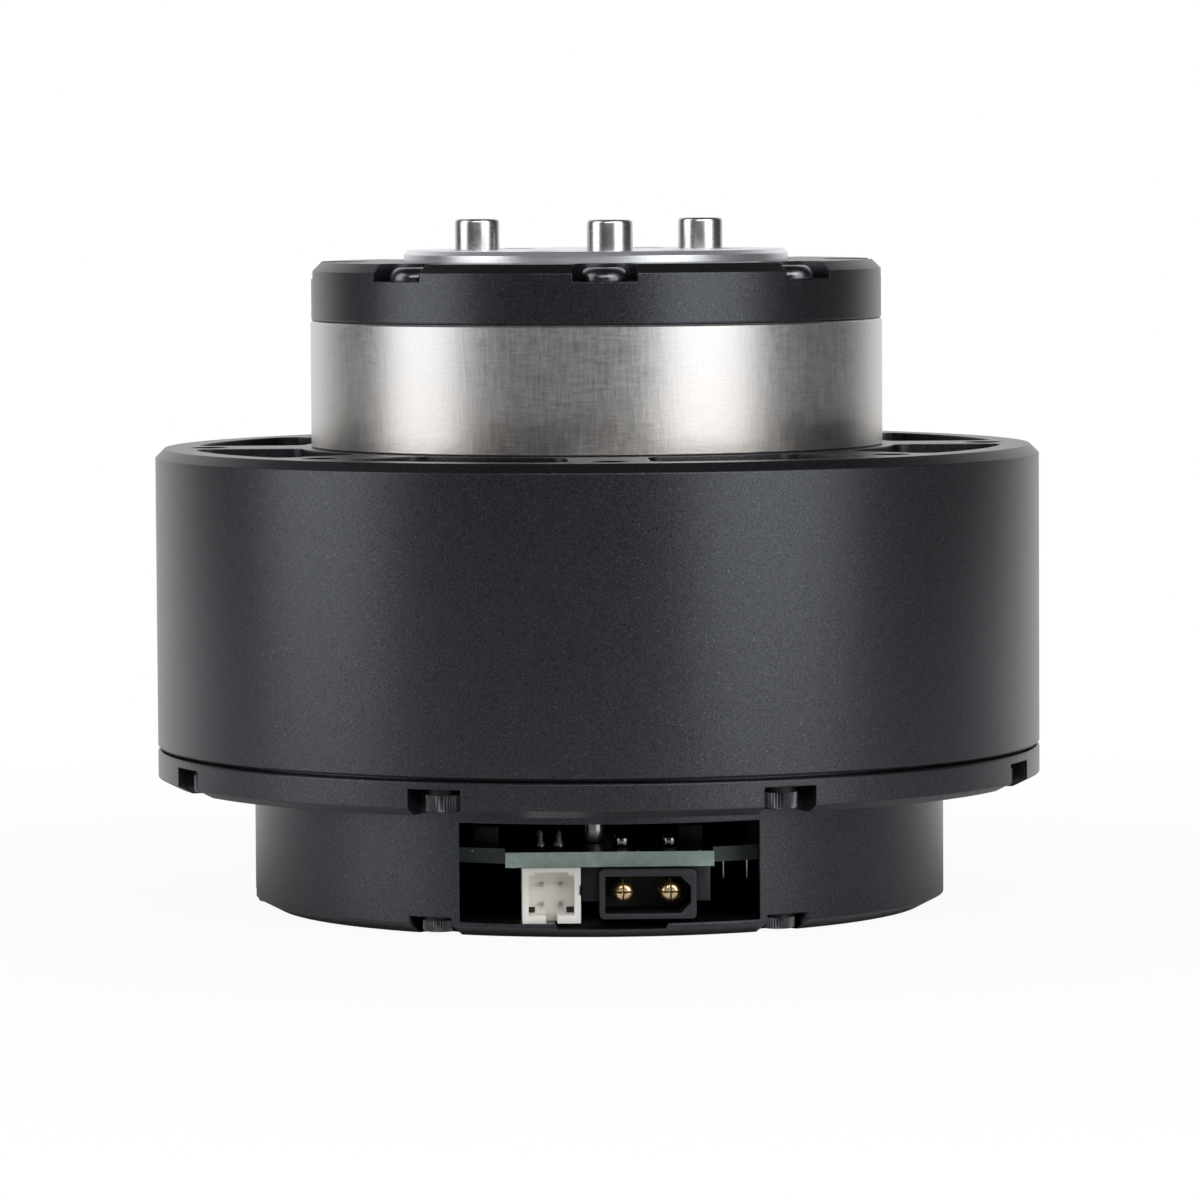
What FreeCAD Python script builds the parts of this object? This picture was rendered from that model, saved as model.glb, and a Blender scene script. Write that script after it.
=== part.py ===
import FreeCAD, Part
import math
import os

# Robot joint actuator: an outer-rotor motor of 98 mm, a 6:1 planetary gearbox on its front and a
# servo drive in a round cover on its rear. Millimetres, +Z along the output axis.
# The origin is the centre of the rear face, and the connector window faces -Y.

V = FreeCAD.Vector
AXIS = V(0, 0, 1)

# ---------------------------------------------------------------- driving dimensions

# Heights of the casing's joints, from the rear face up.
DRIVER_TOP = 13.8
COVER_TOP = 17.9
HOUSING_TOP = 50.9
RING_TOP = 64.9
CAP_TOP = 71.4
FLANGE_TOP = 72.6
DOWEL_TOP = 76.0

# Outer radii.
BODY_R = 49.0
DRIVER_R = 38.3
RING_R = 31.7
CAP_R = 31.6
FLANGE_R = 21.3

# Angles in the plan, counter-clockwise from +X. The front, with the connectors, is -90.
FRONT = -90.0
OUTPUT_ANGLE = FRONT + 4.3
EIGHTHS = [45.0 * i for i in range(8)]
BETWEEN_EIGHTHS = [22.5 + 45.0 * i for i in range(8)]
SIXTHS = [60.0 * i for i in range(6)]
DOWEL_ANGLES = [OUTPUT_ANGLE + 120.0 * i for i in range(3)]
PLANET_ANGLES = [OUTPUT_ANGLE + 60.0 + 120.0 * i for i in range(3)]

# Fits.
THREAD_FIT = 0.02
PRESS_FIT = 0.02
RUNNING_FIT = 0.03
BALL_FIT = 0.04

# Motor housing.
WALL_BORE_R = 44.3
FRONT_PLATE = 3.0
HOUSING_CHAMFER = 1.0
SEAM_CHAMFER = 0.2
WINDOW_IN_R = 33.0
WINDOW_OUT_R = 44.8
WINDOW_CORNER_R = 2.0
SPOKE_WIDTH = 8.6
MOUNT_CIRCLE_R = 43.0
MOUNT_HOLE_R = 1.65
MOUNT_MOUTH_R = 2.15
RING_SEAT_R = 26.5

# Rear cover plate, with the hub and the collar that carry the bearings and the stator.
COVER_UNDER_R = 47.3
COVER_CHAMFER = 0.85
COVER_FLOOR_TOP = 17.2
SEAM_GAP = 0.3
SEAM_R = 47.6
SPIGOT_TOP = 19.4
SPIGOT_IN_R = 41.5
HUB_OUT_R = 23.5
HUB_BORE_R = 19.0
HUB_TOP = 41.6
COLLAR_IN_R = 30.6
COLLAR_OUT_R = 33.0
COLLAR_TOP = 41.5
SHOULDER_R = 34.0
RIB_WIDTH = 2.0
RIB_TOP = 30.0
COVER_SCREW_CIRCLE_R = 45.6
COVER_POCKET_R = 3.0
COVER_POCKET_TOP = 16.75

# Motor.
SLOTS = 36
MAGNETS = 42
STATOR_R = 40.0
STACK_BOTTOM = 25.5
STACK_TOP = 41.5
BACK_IRON_R = 34.8
TOOTH_WIDTH = 2.4
TIP_THICKNESS = 0.8
TIP_HALF_ANGLE = 3.9
COIL_IN_R = 35.3
COIL_OUT_R = 38.9
COIL_WIDTH = 5.2
COIL_OVERHANG = 1.8
MAGNET_IN_R = 40.45
MAGNET_THICKNESS = 1.6
MAGNET_WIDTH = 5.2
YOKE_IN_R = 42.2
YOKE_OUT_R = 43.8
YOKE_BOTTOM = 23.0
WEB_THICKNESS = 2.2
WEB_TOP = 46.8
HUB_WEB_TOP = 44.6

# Bearings: bore and outer radius, width and ball radius.
ROTOR_BEARING = (15.0, 21.0, 7.0, 1.6)
OUTPUT_BEARING = (20.0, 26.0, 7.0, 1.6)
RACE_SHARE = 0.31
BALLS = 12
REAR_BEARING_BOTTOM = 15.0
FRONT_BEARING_BOTTOM = 34.6
OUTPUT_BEARING_BOTTOM = 61.9

# Planetary gearbox: full-depth 20 degree involute teeth, the planets' tips a little short.
MODULE = 0.8
SUN_TEETH = 12
PLANET_TEETH = 24
RING_TEETH = 60
PRESSURE_ANGLE = math.radians(20.0)
BACKLASH = 0.06
PLANET_CIRCLE_R = MODULE * (SUN_TEETH + PLANET_TEETH) / 2
SUN_TIP_R = MODULE * SUN_TEETH / 2 + MODULE
PLANET_TIP_R = MODULE * PLANET_TEETH / 2 + 0.75 * MODULE
RING_TIP_R = MODULE * RING_TEETH / 2 - MODULE
TOOTH_DEPTH = 1.25 * MODULE
GEAR_BOTTOM = 50.6
GEAR_TOP = 59.6
PLANET_PIN_R = 2.0
PLANET_BORE_R = 3.0

# Planet carrier.
CARRIER_R = 21.2
CARRIER_BOTTOM = 47.2
CARRIER_HUB_R = 13.0
CARRIER_HUB_BOTTOM = 46.0
CARRIER_POCKET_R = 10.7
CARRIER_BORE_R = 10.5
CARRIER_SCREW_CIRCLE_R = 17.0
SUN_NECK_R = 7.5
SUN_NECK_TOP = 49.7

# Output flange.
FLANGE_SEAT_R = 20.0
FLANGE_BEVEL = 0.45
OUTPUT_CIRCLE_R = 14.5
DOWEL_R = 2.5
DOWEL_SHANK_R = 2.3
DOWEL_BOTTOM = 66.2
OUTPUT_THREAD_R = 1.65
OUTPUT_THREAD_BOTTOM = 64.6

# Front cap.
CAP_CHAMFER = 1.0
CAP_BORE_R = 21.6
SEAL_R = 23.6
SEAL_BOTTOM = 68.9
SEAL_TOP = 70.4
CAP_SCREW_CIRCLE_R = 28.6
CAP_NOTCH_R = 3.5
CAP_NOTCH_FLOOR = 69.5

# Driver cover.
DRIVER_WALL = 2.0
DRIVER_FLOOR = 1.6
DRIVER_CHAMFER_R = 2.3
DRIVER_CHAMFER_Z = 1.2
DRIVER_SCREW_CIRCLE_R = 36.2
DRIVER_BOSS_R = 2.3
DRIVER_NOTCH_R = 2.6
DRIVER_NOTCH_TOP = 2.0
OPENING_HALF_WIDTH = 16.0
OPENING_TOP = 12.25

# Driver board.
BOARD_BOTTOM = 7.5
BOARD_TOP = 9.1
BOARD_R = 33.5
TAB_HALF_WIDTH = 11.1
TAB_FRONT = -36.0
STANDOFF_CIRCLE_R = 27.0
STANDOFF_ANGLES = [45.0, 135.0, 225.0, 315.0]
LEAD_ANGLES = [75.0, 90.0, 105.0]
LEAD_R = 0.8
LEAD_CIRCLE_R = 35.2
LEAD_PAD_CIRCLE_R = 30.0

# Signal connector, a 2 by 2 header lying on its side under the board.
SIGNAL_X = -6.25
SIGNAL_WIDTH = 6.2
SIGNAL_BOTTOM = 1.6
SIGNAL_FRONT = -37.0
SIGNAL_BACK = -29.5
SIGNAL_PITCH = 2.0
SIGNAL_Z = 4.65

# Power connector, two round pins in a keyed shell.
POWER_X = 4.0
POWER_WIDTH = 10.3
POWER_BOTTOM = 2.0
POWER_TOP = 7.3
POWER_FRONT = -37.2
POWER_BACK = -26.0
POWER_PITCH = 5.0
POWER_PIN_R = 1.05
POWER_Z = 4.6


# ---------------------------------------------------------------- forms

def turned(points):
    """A solid of revolution from (radius, height) corners."""
    corners = [V(r, 0, z) for r, z in points]
    wire = Part.makePolygon(corners + corners[:1])
    return Part.Face(wire).revolve(V(0, 0, 0), AXIS, 360)


def place(radius, angle, z=0.0):
    """The point at a radius and an angle in the plan."""
    a = math.radians(angle)
    return V(radius * math.cos(a), radius * math.sin(a), z)


def rod(r, z0, z1, centre=V(0, 0, 0)):
    """An upright cylinder between two heights."""
    return Part.makeCylinder(r, z1 - z0, V(centre.x, centre.y, z0))


def tube(r_in, r_out, z0, z1, centre=V(0, 0, 0)):
    """An upright tube between two heights."""
    return rod(r_out, z0, z1, centre).cut(rod(r_in, z0, z1, centre))


def block(x0, x1, y0, y1, z0, z1):
    """A box between three pairs of coordinates."""
    return Part.makeBox(x1 - x0, y1 - y0, z1 - z0, V(x0, y0, z0))


def turn(shape, angle):
    """A copy turned about the output axis."""
    copy = shape.copy()
    copy.rotate(V(0, 0, 0), AXIS, angle)
    return copy


def around(shape, angles):
    """Copies of a shape made at angle 0, turned to each angle."""
    return [turn(shape, a) for a in angles]


def group(solids):
    """Separate solids kept together in one node."""
    return Part.makeCompound(solids)


def edge_slot(r, centre_r, z0, z1):
    """A U-shaped slot at angle 0, open towards the rim."""
    slot = block(centre_r, BODY_R + 1, -r, r, z0, z1)
    return slot.fuse(rod(r, z0, z1, V(centre_r, 0, 0))).removeSplitter()


def countersink(r_hole, r_mouth, z_face, centre):
    """A 45 degree mouth for a hole that opens upwards."""
    depth = r_mouth - r_hole
    return Part.makeCone(r_hole, r_mouth, depth, V(centre.x, centre.y, z_face - depth))


def hexagon(r, z0, z1, centre):
    """A hexagonal socket or nut between two heights."""
    corners = [centre + place(r, 60.0 * i) for i in range(6)]
    corners = [V(c.x, c.y, z0) for c in corners]
    return Part.Face(Part.makePolygon(corners + corners[:1])).extrude(V(0, 0, z1 - z0))


def screw(centre, z_seat, way, shank_r, length, head_r, head_h, socket_r):
    """A socket screw. Way is +1 when it points up, with its head below its seat, and -1 the other way."""
    head = rod(head_r, min(z_seat, z_seat - way * head_h), max(z_seat, z_seat - way * head_h), centre)
    shank = rod(shank_r, min(z_seat, z_seat + way * length), max(z_seat, z_seat + way * length), centre)
    z_face = z_seat - way * head_h
    z_deep = z_face + way * 0.6 * head_h
    socket = hexagon(socket_r, min(z_face, z_deep), max(z_face, z_deep), centre)
    return head.fuse(shank).cut(socket)


# ---------------------------------------------------------------- gear teeth

def roll(angle):
    """The involute function."""
    return math.tan(angle) - angle


def tooth_outline(teeth, tip_r, root_r, thickness, phase):
    """A closed ring of involute teeth, one of them centred on the phase angle in degrees."""
    pitch_r = MODULE * teeth / 2
    base_r = pitch_r * math.cos(PRESSURE_ANGLE)
    flank_bottom = max(base_r, root_r)
    steps = 2
    radii = [flank_bottom + (tip_r - flank_bottom) * i / steps for i in range(steps + 1)]
    flank = []
    for r in radii:
        half = thickness / (2 * pitch_r) + roll(PRESSURE_ANGLE) - roll(math.acos(base_r / r))
        flank.append((r, math.degrees(half)))
    if root_r < base_r:
        flank.insert(0, (root_r, flank[0][1]))
    corners = []
    for i in range(teeth):
        centre = phase + 360.0 * i / teeth
        corners += [place(r, centre - half) for r, half in flank]
        corners += [place(r, centre + half) for r, half in reversed(flank)]
    return corners


def toothed(teeth, tip_r, root_r, thickness, phase, z0, z1):
    """A straight-toothed cylinder."""
    corners = [V(c.x, c.y, z0) for c in tooth_outline(teeth, tip_r, root_r, thickness, phase)]
    return Part.Face(Part.makePolygon(corners + corners[:1])).extrude(V(0, 0, z1 - z0))


def planet_phase(angle):
    """The direction of one tooth of the planet at an angle, in mesh with a sun tooth on +X."""
    sun_share = angle * SUN_TEETH / 360.0
    return angle + 180.0 - (0.5 - sun_share) * 360.0 / PLANET_TEETH


def ring_phase():
    """The direction of one tooth space of the ring, in mesh with the planets."""
    angle = PLANET_ANGLES[0]
    planet_share = (angle - planet_phase(angle)) * PLANET_TEETH / 360.0
    return angle - planet_share * 360.0 / RING_TEETH


# ---------------------------------------------------------------- bearings

def race_walls(bearing):
    """The radii of the inner race's outside and the outer race's inside."""
    bore_r, outer_r = bearing[:2]
    wall = (outer_r - bore_r) * RACE_SHARE
    return bore_r + wall, outer_r - wall


def ball_circle_r(bearing):
    """The radius that the balls run on."""
    return (bearing[0] + bearing[1]) / 2


def groove(bearing, bottom):
    """The ring that the balls' grooves are cut with."""
    middle = V(0, 0, bottom + bearing[2] / 2)
    return Part.makeTorus(ball_circle_r(bearing), bearing[3] + BALL_FIT, middle)


def inner_race(bearing, bottom):
    """A bearing's inner ring with its ball groove."""
    wall_r = race_walls(bearing)[0]
    return tube(bearing[0], wall_r, bottom, bottom + bearing[2]).cut(groove(bearing, bottom))


def outer_race(bearing, bottom):
    """A bearing's outer ring with its ball groove."""
    wall_r = race_walls(bearing)[1]
    return tube(wall_r, bearing[1], bottom, bottom + bearing[2]).cut(groove(bearing, bottom))


def balls(bearing, bottom):
    """A bearing's balls, as separate solids."""
    middle = bottom + bearing[2] / 2
    spots = [place(ball_circle_r(bearing), 360.0 * i / BALLS, middle) for i in range(BALLS)]
    return group([Part.makeSphere(bearing[3], spot) for spot in spots])


# ---------------------------------------------------------------- casing

def kidney_window():
    """One ventilation window of the housing's front, its middle at angle 22.5."""
    z0 = HOUSING_TOP - FRONT_PLATE - 1
    z1 = HOUSING_TOP + 1
    sector = tube(WINDOW_IN_R, WINDOW_OUT_R, z0, z1)
    half = SPOKE_WIDTH / 2
    spoke = block(-BODY_R, BODY_R, -half, half, z0, z1)
    sector = sector.cut(spoke).cut(turn(spoke, 45))
    middle = place((WINDOW_IN_R + WINDOW_OUT_R) / 2, 22.5, HOUSING_TOP)
    window = [s for s in sector.Solids if s.isInside(middle, 0.1, True)][0]
    corners = [e for e in window.Edges if abs(e.BoundBox.ZLength - (z1 - z0)) < 0.01]
    return window.makeFillet(WINDOW_CORNER_R, corners)


def motor_housing():
    """The outer wall and the spoked front plate, turned and milled from one piece."""
    plate_bottom = HOUSING_TOP - FRONT_PLATE
    body = turned([
        (WALL_BORE_R, COVER_TOP),
        (BODY_R - SEAM_CHAMFER, COVER_TOP),
        (BODY_R, COVER_TOP + SEAM_CHAMFER),
        (BODY_R, HOUSING_TOP - HOUSING_CHAMFER),
        (BODY_R - HOUSING_CHAMFER, HOUSING_TOP),
        (RING_SEAT_R, HOUSING_TOP),
        (RING_SEAT_R, plate_bottom),
        (WALL_BORE_R, plate_bottom),
    ])
    cuts = around(kidney_window(), EIGHTHS)
    for angle in EIGHTHS:
        mount = place(MOUNT_CIRCLE_R, angle)
        cuts.append(rod(MOUNT_HOLE_R, plate_bottom, HOUSING_TOP, mount))
        cuts.append(countersink(MOUNT_HOLE_R, MOUNT_MOUTH_R, HOUSING_TOP, mount))
        cuts.append(rod(1.5 + THREAD_FIT, plate_bottom, HOUSING_TOP, place(CAP_SCREW_CIRCLE_R, angle)))
    for angle in BETWEEN_EIGHTHS:
        cuts.append(rod(1.0 + THREAD_FIT, COVER_TOP, COVER_TOP + 7, place(COVER_SCREW_CIRCLE_R, angle)))
    return body.cut(cuts)


def rear_cover():
    """The rear plate, its bearing hub, its stator collar and the ribs between them."""
    pocket_r = ROTOR_BEARING[1]
    rear_seat_top = REAR_BEARING_BOTTOM + ROTOR_BEARING[2]
    body = turned([
        (pocket_r, DRIVER_TOP),
        (COVER_UNDER_R, DRIVER_TOP),
        (BODY_R, DRIVER_TOP + COVER_CHAMFER),
        (BODY_R, COVER_TOP - SEAM_GAP - SEAM_CHAMFER),
        (BODY_R - SEAM_CHAMFER, COVER_TOP - SEAM_GAP),
        (SEAM_R, COVER_TOP - SEAM_GAP),
        (SEAM_R, COVER_TOP),
        (WALL_BORE_R - PRESS_FIT, COVER_TOP),
        (WALL_BORE_R - PRESS_FIT, SPIGOT_TOP),
        (SPIGOT_IN_R, SPIGOT_TOP),
        (SPIGOT_IN_R, COVER_FLOOR_TOP),
        (SHOULDER_R, COVER_FLOOR_TOP),
        (SHOULDER_R, STACK_BOTTOM),
        (COLLAR_OUT_R, STACK_BOTTOM),
        (COLLAR_OUT_R, COLLAR_TOP),
        (COLLAR_IN_R, COLLAR_TOP),
        (COLLAR_IN_R, COVER_FLOOR_TOP),
        (HUB_OUT_R, COVER_FLOOR_TOP),
        (HUB_OUT_R, HUB_TOP),
        (pocket_r, HUB_TOP),
        (pocket_r, FRONT_BEARING_BOTTOM),
        (HUB_BORE_R, FRONT_BEARING_BOTTOM),
        (HUB_BORE_R, rear_seat_top),
        (pocket_r, rear_seat_top),
    ])
    rib = block(HUB_OUT_R - 0.5, COLLAR_IN_R + 0.5, -RIB_WIDTH / 2, RIB_WIDTH / 2, COVER_FLOOR_TOP, RIB_TOP)
    body = body.fuse(around(rib, EIGHTHS)).removeSplitter()
    pocket = edge_slot(COVER_POCKET_R, COVER_SCREW_CIRCLE_R, DRIVER_TOP - 1, COVER_POCKET_TOP)
    cuts = around(pocket, BETWEEN_EIGHTHS)
    cuts.append(tube(pocket_r - 1, pocket_r + 0.8, 14.0, REAR_BEARING_BOTTOM))
    for angle in BETWEEN_EIGHTHS:
        cuts.append(rod(1.1, COVER_POCKET_TOP, SPIGOT_TOP, place(COVER_SCREW_CIRCLE_R, angle)))
    for angle in SIXTHS:
        cuts.append(rod(1.0 + THREAD_FIT, DRIVER_TOP, 16.6, place(DRIVER_SCREW_CIRCLE_R, angle)))
    for angle in STANDOFF_ANGLES:
        cuts.append(rod(1.25 + THREAD_FIT, DRIVER_TOP, 16.6, place(STANDOFF_CIRCLE_R, angle)))
    for angle in LEAD_ANGLES:
        cuts.append(rod(2 * LEAD_R, DRIVER_TOP - 1, COVER_FLOOR_TOP + 1, place(LEAD_CIRCLE_R + 0.3, angle)))
    return body.cut(cuts)


def rear_cover_screws():
    """Eight M2 socket screws that hold the rear cover to the housing."""
    return group([
        screw(place(COVER_SCREW_CIRCLE_R, a), COVER_POCKET_TOP, 1, 1.0, 7.6, 1.9, 2.5, 0.85)
        for a in BETWEEN_EIGHTHS
    ])


def driver_cover():
    """The round rear cover with its screw bosses and the connector window."""
    bore_r = DRIVER_R - DRIVER_WALL
    body = turned([
        (0, 0),
        (DRIVER_R - DRIVER_CHAMFER_R, 0),
        (DRIVER_R, DRIVER_CHAMFER_Z),
        (DRIVER_R, DRIVER_TOP),
        (bore_r, DRIVER_TOP),
        (bore_r, DRIVER_FLOOR),
        (0, DRIVER_FLOOR),
    ])
    boss = rod(DRIVER_BOSS_R, DRIVER_FLOOR - 0.5, DRIVER_TOP, place(DRIVER_SCREW_CIRCLE_R, 0))
    boss = boss.common(rod(DRIVER_R - 0.5, 0, DRIVER_TOP))
    body = body.fuse(around(boss, SIXTHS)).removeSplitter()
    half = OPENING_HALF_WIDTH
    cuts = [block(-half, half, -DRIVER_R - 1, -bore_r + 6, DRIVER_FLOOR, OPENING_TOP)]
    cuts += around(edge_slot(DRIVER_NOTCH_R, DRIVER_SCREW_CIRCLE_R, -1, DRIVER_NOTCH_TOP), SIXTHS)
    cuts += around(rod(1.1, 0, DRIVER_TOP, place(DRIVER_SCREW_CIRCLE_R, 0)), SIXTHS)
    return body.cut(cuts)


def driver_cover_screws():
    """Six M2 socket screws that hold the driver cover to the rear cover."""
    return group([
        screw(place(DRIVER_SCREW_CIRCLE_R, a), DRIVER_NOTCH_TOP, 1, 1.0, 14.2, 1.8, 1.65, 0.85)
        for a in SIXTHS
    ])


def front_cap():
    """The cap that holds the output bearing, with a notch in its rim for each screw."""
    body = turned([
        (OUTPUT_BEARING[1], RING_TOP),
        (CAP_R - SEAM_CHAMFER, RING_TOP),
        (CAP_R, RING_TOP + SEAM_CHAMFER),
        (CAP_R, CAP_TOP - CAP_CHAMFER),
        (CAP_R - CAP_CHAMFER, CAP_TOP),
        (CAP_BORE_R, CAP_TOP),
        (CAP_BORE_R, SEAL_TOP),
        (SEAL_R, SEAL_TOP),
        (SEAL_R, SEAL_BOTTOM),
        (OUTPUT_BEARING[1], SEAL_BOTTOM),
    ])
    cuts = around(edge_slot(CAP_NOTCH_R, CAP_SCREW_CIRCLE_R, CAP_NOTCH_FLOOR, CAP_TOP + 1), EIGHTHS)
    cuts += around(rod(1.6, RING_TOP, CAP_NOTCH_FLOOR, place(CAP_SCREW_CIRCLE_R, 0)), EIGHTHS)
    return body.cut(cuts)


def front_cap_screws():
    """Eight M3 low-head screws through the cap and the ring gear into the housing."""
    return group([
        screw(place(CAP_SCREW_CIRCLE_R, a), CAP_NOTCH_FLOOR, -1, 1.5, 21.2, 2.7, 1.5, 1.15)
        for a in EIGHTHS
    ])


# ---------------------------------------------------------------- motor

def stator_core():
    """The laminated stack: a back-iron ring with a T-shaped tooth for each coil."""
    corners = []
    ring_r = COLLAR_OUT_R + PRESS_FIT
    neck_r = STATOR_R - TIP_THICKNESS
    for i in range(SLOTS):
        centre = 360.0 * i / SLOTS
        foot = math.degrees(math.asin(TOOTH_WIDTH / 2 / BACK_IRON_R))
        neck = math.degrees(math.asin(TOOTH_WIDTH / 2 / neck_r))
        corners += [place(BACK_IRON_R, centre - foot), place(neck_r, centre - neck)]
        corners += [place(neck_r, centre - TIP_HALF_ANGLE), place(STATOR_R, centre - TIP_HALF_ANGLE)]
        corners += [place(STATOR_R, centre + TIP_HALF_ANGLE), place(neck_r, centre + TIP_HALF_ANGLE)]
        corners += [place(neck_r, centre + neck), place(BACK_IRON_R, centre + foot)]
    outline = [V(c.x, c.y, STACK_BOTTOM) for c in corners]
    stack = Part.Face(Part.makePolygon(outline + outline[:1])).extrude(V(0, 0, STACK_TOP - STACK_BOTTOM))
    return stack.cut(rod(ring_r, STACK_BOTTOM - 1, STACK_TOP + 1))


def stator_windings():
    """One copper coil round each tooth."""
    half = COIL_WIDTH / 2
    bore = TOOTH_WIDTH / 2 + 0.05
    z0 = STACK_BOTTOM - COIL_OVERHANG
    z1 = STACK_TOP + COIL_OVERHANG
    coil = block(COIL_IN_R, COIL_OUT_R, -half, half, z0, z1)
    coil = coil.cut(block(COIL_IN_R, COIL_OUT_R, -bore, bore, STACK_BOTTOM - 0.05, STACK_TOP + 0.05))
    return group(around(coil, [360.0 * i / SLOTS for i in range(SLOTS)]))


def rotor_bell():
    """The steel bell: the yoke outside the magnets and the dished web with its vent holes."""
    cone_in_r = 24.0
    cone_out_r = 28.0
    body = turned([
        (ROTOR_BEARING[0], HUB_WEB_TOP - WEB_THICKNESS),
        (cone_in_r, HUB_WEB_TOP - WEB_THICKNESS),
        (cone_out_r, WEB_TOP - WEB_THICKNESS),
        (YOKE_IN_R, WEB_TOP - WEB_THICKNESS),
        (YOKE_IN_R, YOKE_BOTTOM),
        (YOKE_OUT_R, YOKE_BOTTOM),
        (YOKE_OUT_R, WEB_TOP - 0.5),
        (YOKE_OUT_R - 0.5, WEB_TOP),
        (cone_out_r, WEB_TOP),
        (cone_in_r, HUB_WEB_TOP),
        (ROTOR_BEARING[0], HUB_WEB_TOP),
    ])
    vents = around(rod(3.2, HUB_WEB_TOP - 4, WEB_TOP + 1, place(35.0, 0)), BETWEEN_EIGHTHS)
    threads = around(rod(1.0 + THREAD_FIT, 42, 45, place(17.5, 0)), SIXTHS)
    return body.cut(vents + threads)


def rotor_magnets():
    """Flat magnets bonded inside the yoke, with alternating poles."""
    half = MAGNET_WIDTH / 2
    magnet = block(MAGNET_IN_R, MAGNET_IN_R + MAGNET_THICKNESS, -half, half, STACK_BOTTOM - 1, STACK_TOP + 1)
    return group(around(magnet, [360.0 * i / MAGNETS for i in range(MAGNETS)]))


def rotor_shaft():
    """The hollow shaft, closed at its rear by the boss that carries the encoder magnet."""
    shaft_r = ROTOR_BEARING[0] - PRESS_FIT
    spacer_bottom = REAR_BEARING_BOTTOM + ROTOR_BEARING[2]
    bore_r = 12.8
    return turned([
        (0, 13.6),
        (3.6, 13.6),
        (3.6, 15.2),
        (shaft_r, 15.2),
        (shaft_r, spacer_bottom),
        (16.5, spacer_bottom),
        (16.5, FRONT_BEARING_BOTTOM),
        (shaft_r, FRONT_BEARING_BOTTOM),
        (shaft_r, HUB_WEB_TOP),
        (bore_r, HUB_WEB_TOP),
        (bore_r, 17.2),
        (0, 17.2),
    ])


def encoder_magnet():
    """The round magnet that the encoder chip reads."""
    return rod(3.0, 11.2, 13.6)


def bearing_circlip():
    """The retaining ring under the rear bearing, open at one side."""
    ring = tube(ROTOR_BEARING[1] - 1.4, ROTOR_BEARING[1] + 0.75, 14.05, 14.95)
    return ring.cut(block(15, 25, -4, 4, 13, 16))


def phase_leads():
    """The three motor leads, from the coils through the rear cover to the driver board."""
    bend = 1.6
    high = STACK_BOTTOM - COIL_OVERHANG
    level = 11.6
    low = BOARD_BOTTOM - 0.8
    start = V(LEAD_CIRCLE_R + 0.2, 0, high)
    corner_1 = V(start.x, 0, level)
    corner_2 = V(LEAD_PAD_CIRCLE_R, 0, level)
    end = V(LEAD_PAD_CIRCLE_R, 0, low)
    share = bend * (1 - math.sqrt(0.5))
    path = Part.Wire([
        Part.LineSegment(start, corner_1 + V(0, 0, bend)).toShape(),
        Part.Arc(
            corner_1 + V(0, 0, bend), corner_1 + V(-share, 0, share), corner_1 + V(-bend, 0, 0)).toShape(),
        Part.LineSegment(corner_1 + V(-bend, 0, 0), corner_2 + V(bend, 0, 0)).toShape(),
        Part.Arc(
            corner_2 + V(bend, 0, 0), corner_2 + V(share, 0, -share), corner_2 + V(0, 0, -bend)).toShape(),
        Part.LineSegment(corner_2 + V(0, 0, -bend), end).toShape(),
    ])
    section = Part.Wire([Part.makeCircle(LEAD_R, start, V(0, 0, -1))])
    lead = path.makePipeShell([section], True, True)
    return group(around(lead, LEAD_ANGLES))


# ---------------------------------------------------------------- gearbox

def sun_gear():
    """The sun gear with its neck, and the flange that screws to the rotor."""
    body = turned([
        (0, 41.5),
        (12.75, 41.5),
        (12.75, HUB_WEB_TOP),
        (19.5, HUB_WEB_TOP),
        (19.5, 45.6),
        (SUN_NECK_R, 45.6),
        (SUN_NECK_R, SUN_NECK_TOP),
        (0, SUN_NECK_TOP),
    ])
    root_r = MODULE * SUN_TEETH / 2 - TOOTH_DEPTH
    thickness = math.pi * MODULE / 2 - BACKLASH
    teeth = toothed(SUN_TEETH, SUN_TIP_R, root_r, thickness, 0.0, SUN_NECK_TOP, GEAR_TOP + 0.2)
    body = body.fuse(teeth).removeSplitter()
    holes = around(rod(1.1, HUB_WEB_TOP, 45.7, place(17.5, 0)), SIXTHS)
    sinks = around(Part.makeCone(1.1, 1.95, 0.85, place(17.5, 0, 44.75)), SIXTHS)
    return body.cut(holes + sinks)


def rotor_screws():
    """Six M2 countersunk screws that hold the sun gear to the rotor bell."""
    head = Part.makeCone(1.0, 1.85, 0.85, place(17.5, 0, 44.7))
    shank = rod(1.0, 42.6, 44.8, place(17.5, 0))
    slot = hexagon(0.6, 45.1, 45.6, place(17.5, 0))
    return group(around(head.fuse(shank).cut(slot), SIXTHS))


def planet_gear(angle):
    """One planet gear with its bore."""
    root_r = MODULE * PLANET_TEETH / 2 - TOOTH_DEPTH
    thickness = math.pi * MODULE / 2 - BACKLASH
    gear = toothed(
        PLANET_TEETH, PLANET_TIP_R, root_r, thickness, planet_phase(angle), GEAR_BOTTOM, GEAR_TOP)
    gear = gear.cut(rod(PLANET_BORE_R, GEAR_BOTTOM, GEAR_TOP))
    gear.translate(place(PLANET_CIRCLE_R, angle))
    return gear


def planet_bush(angle):
    """The bronze bush in a planet's bore."""
    centre = place(PLANET_CIRCLE_R, angle)
    return tube(PLANET_PIN_R + RUNNING_FIT, PLANET_BORE_R - PRESS_FIT / 2, GEAR_BOTTOM, GEAR_TOP, centre)


def planet_pins():
    """The three hardened pins that the planets turn on."""
    return group([
        rod(PLANET_PIN_R, CARRIER_BOTTOM, OUTPUT_BEARING_BOTTOM - 0.1, place(PLANET_CIRCLE_R, a))
        for a in PLANET_ANGLES
    ])


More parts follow.
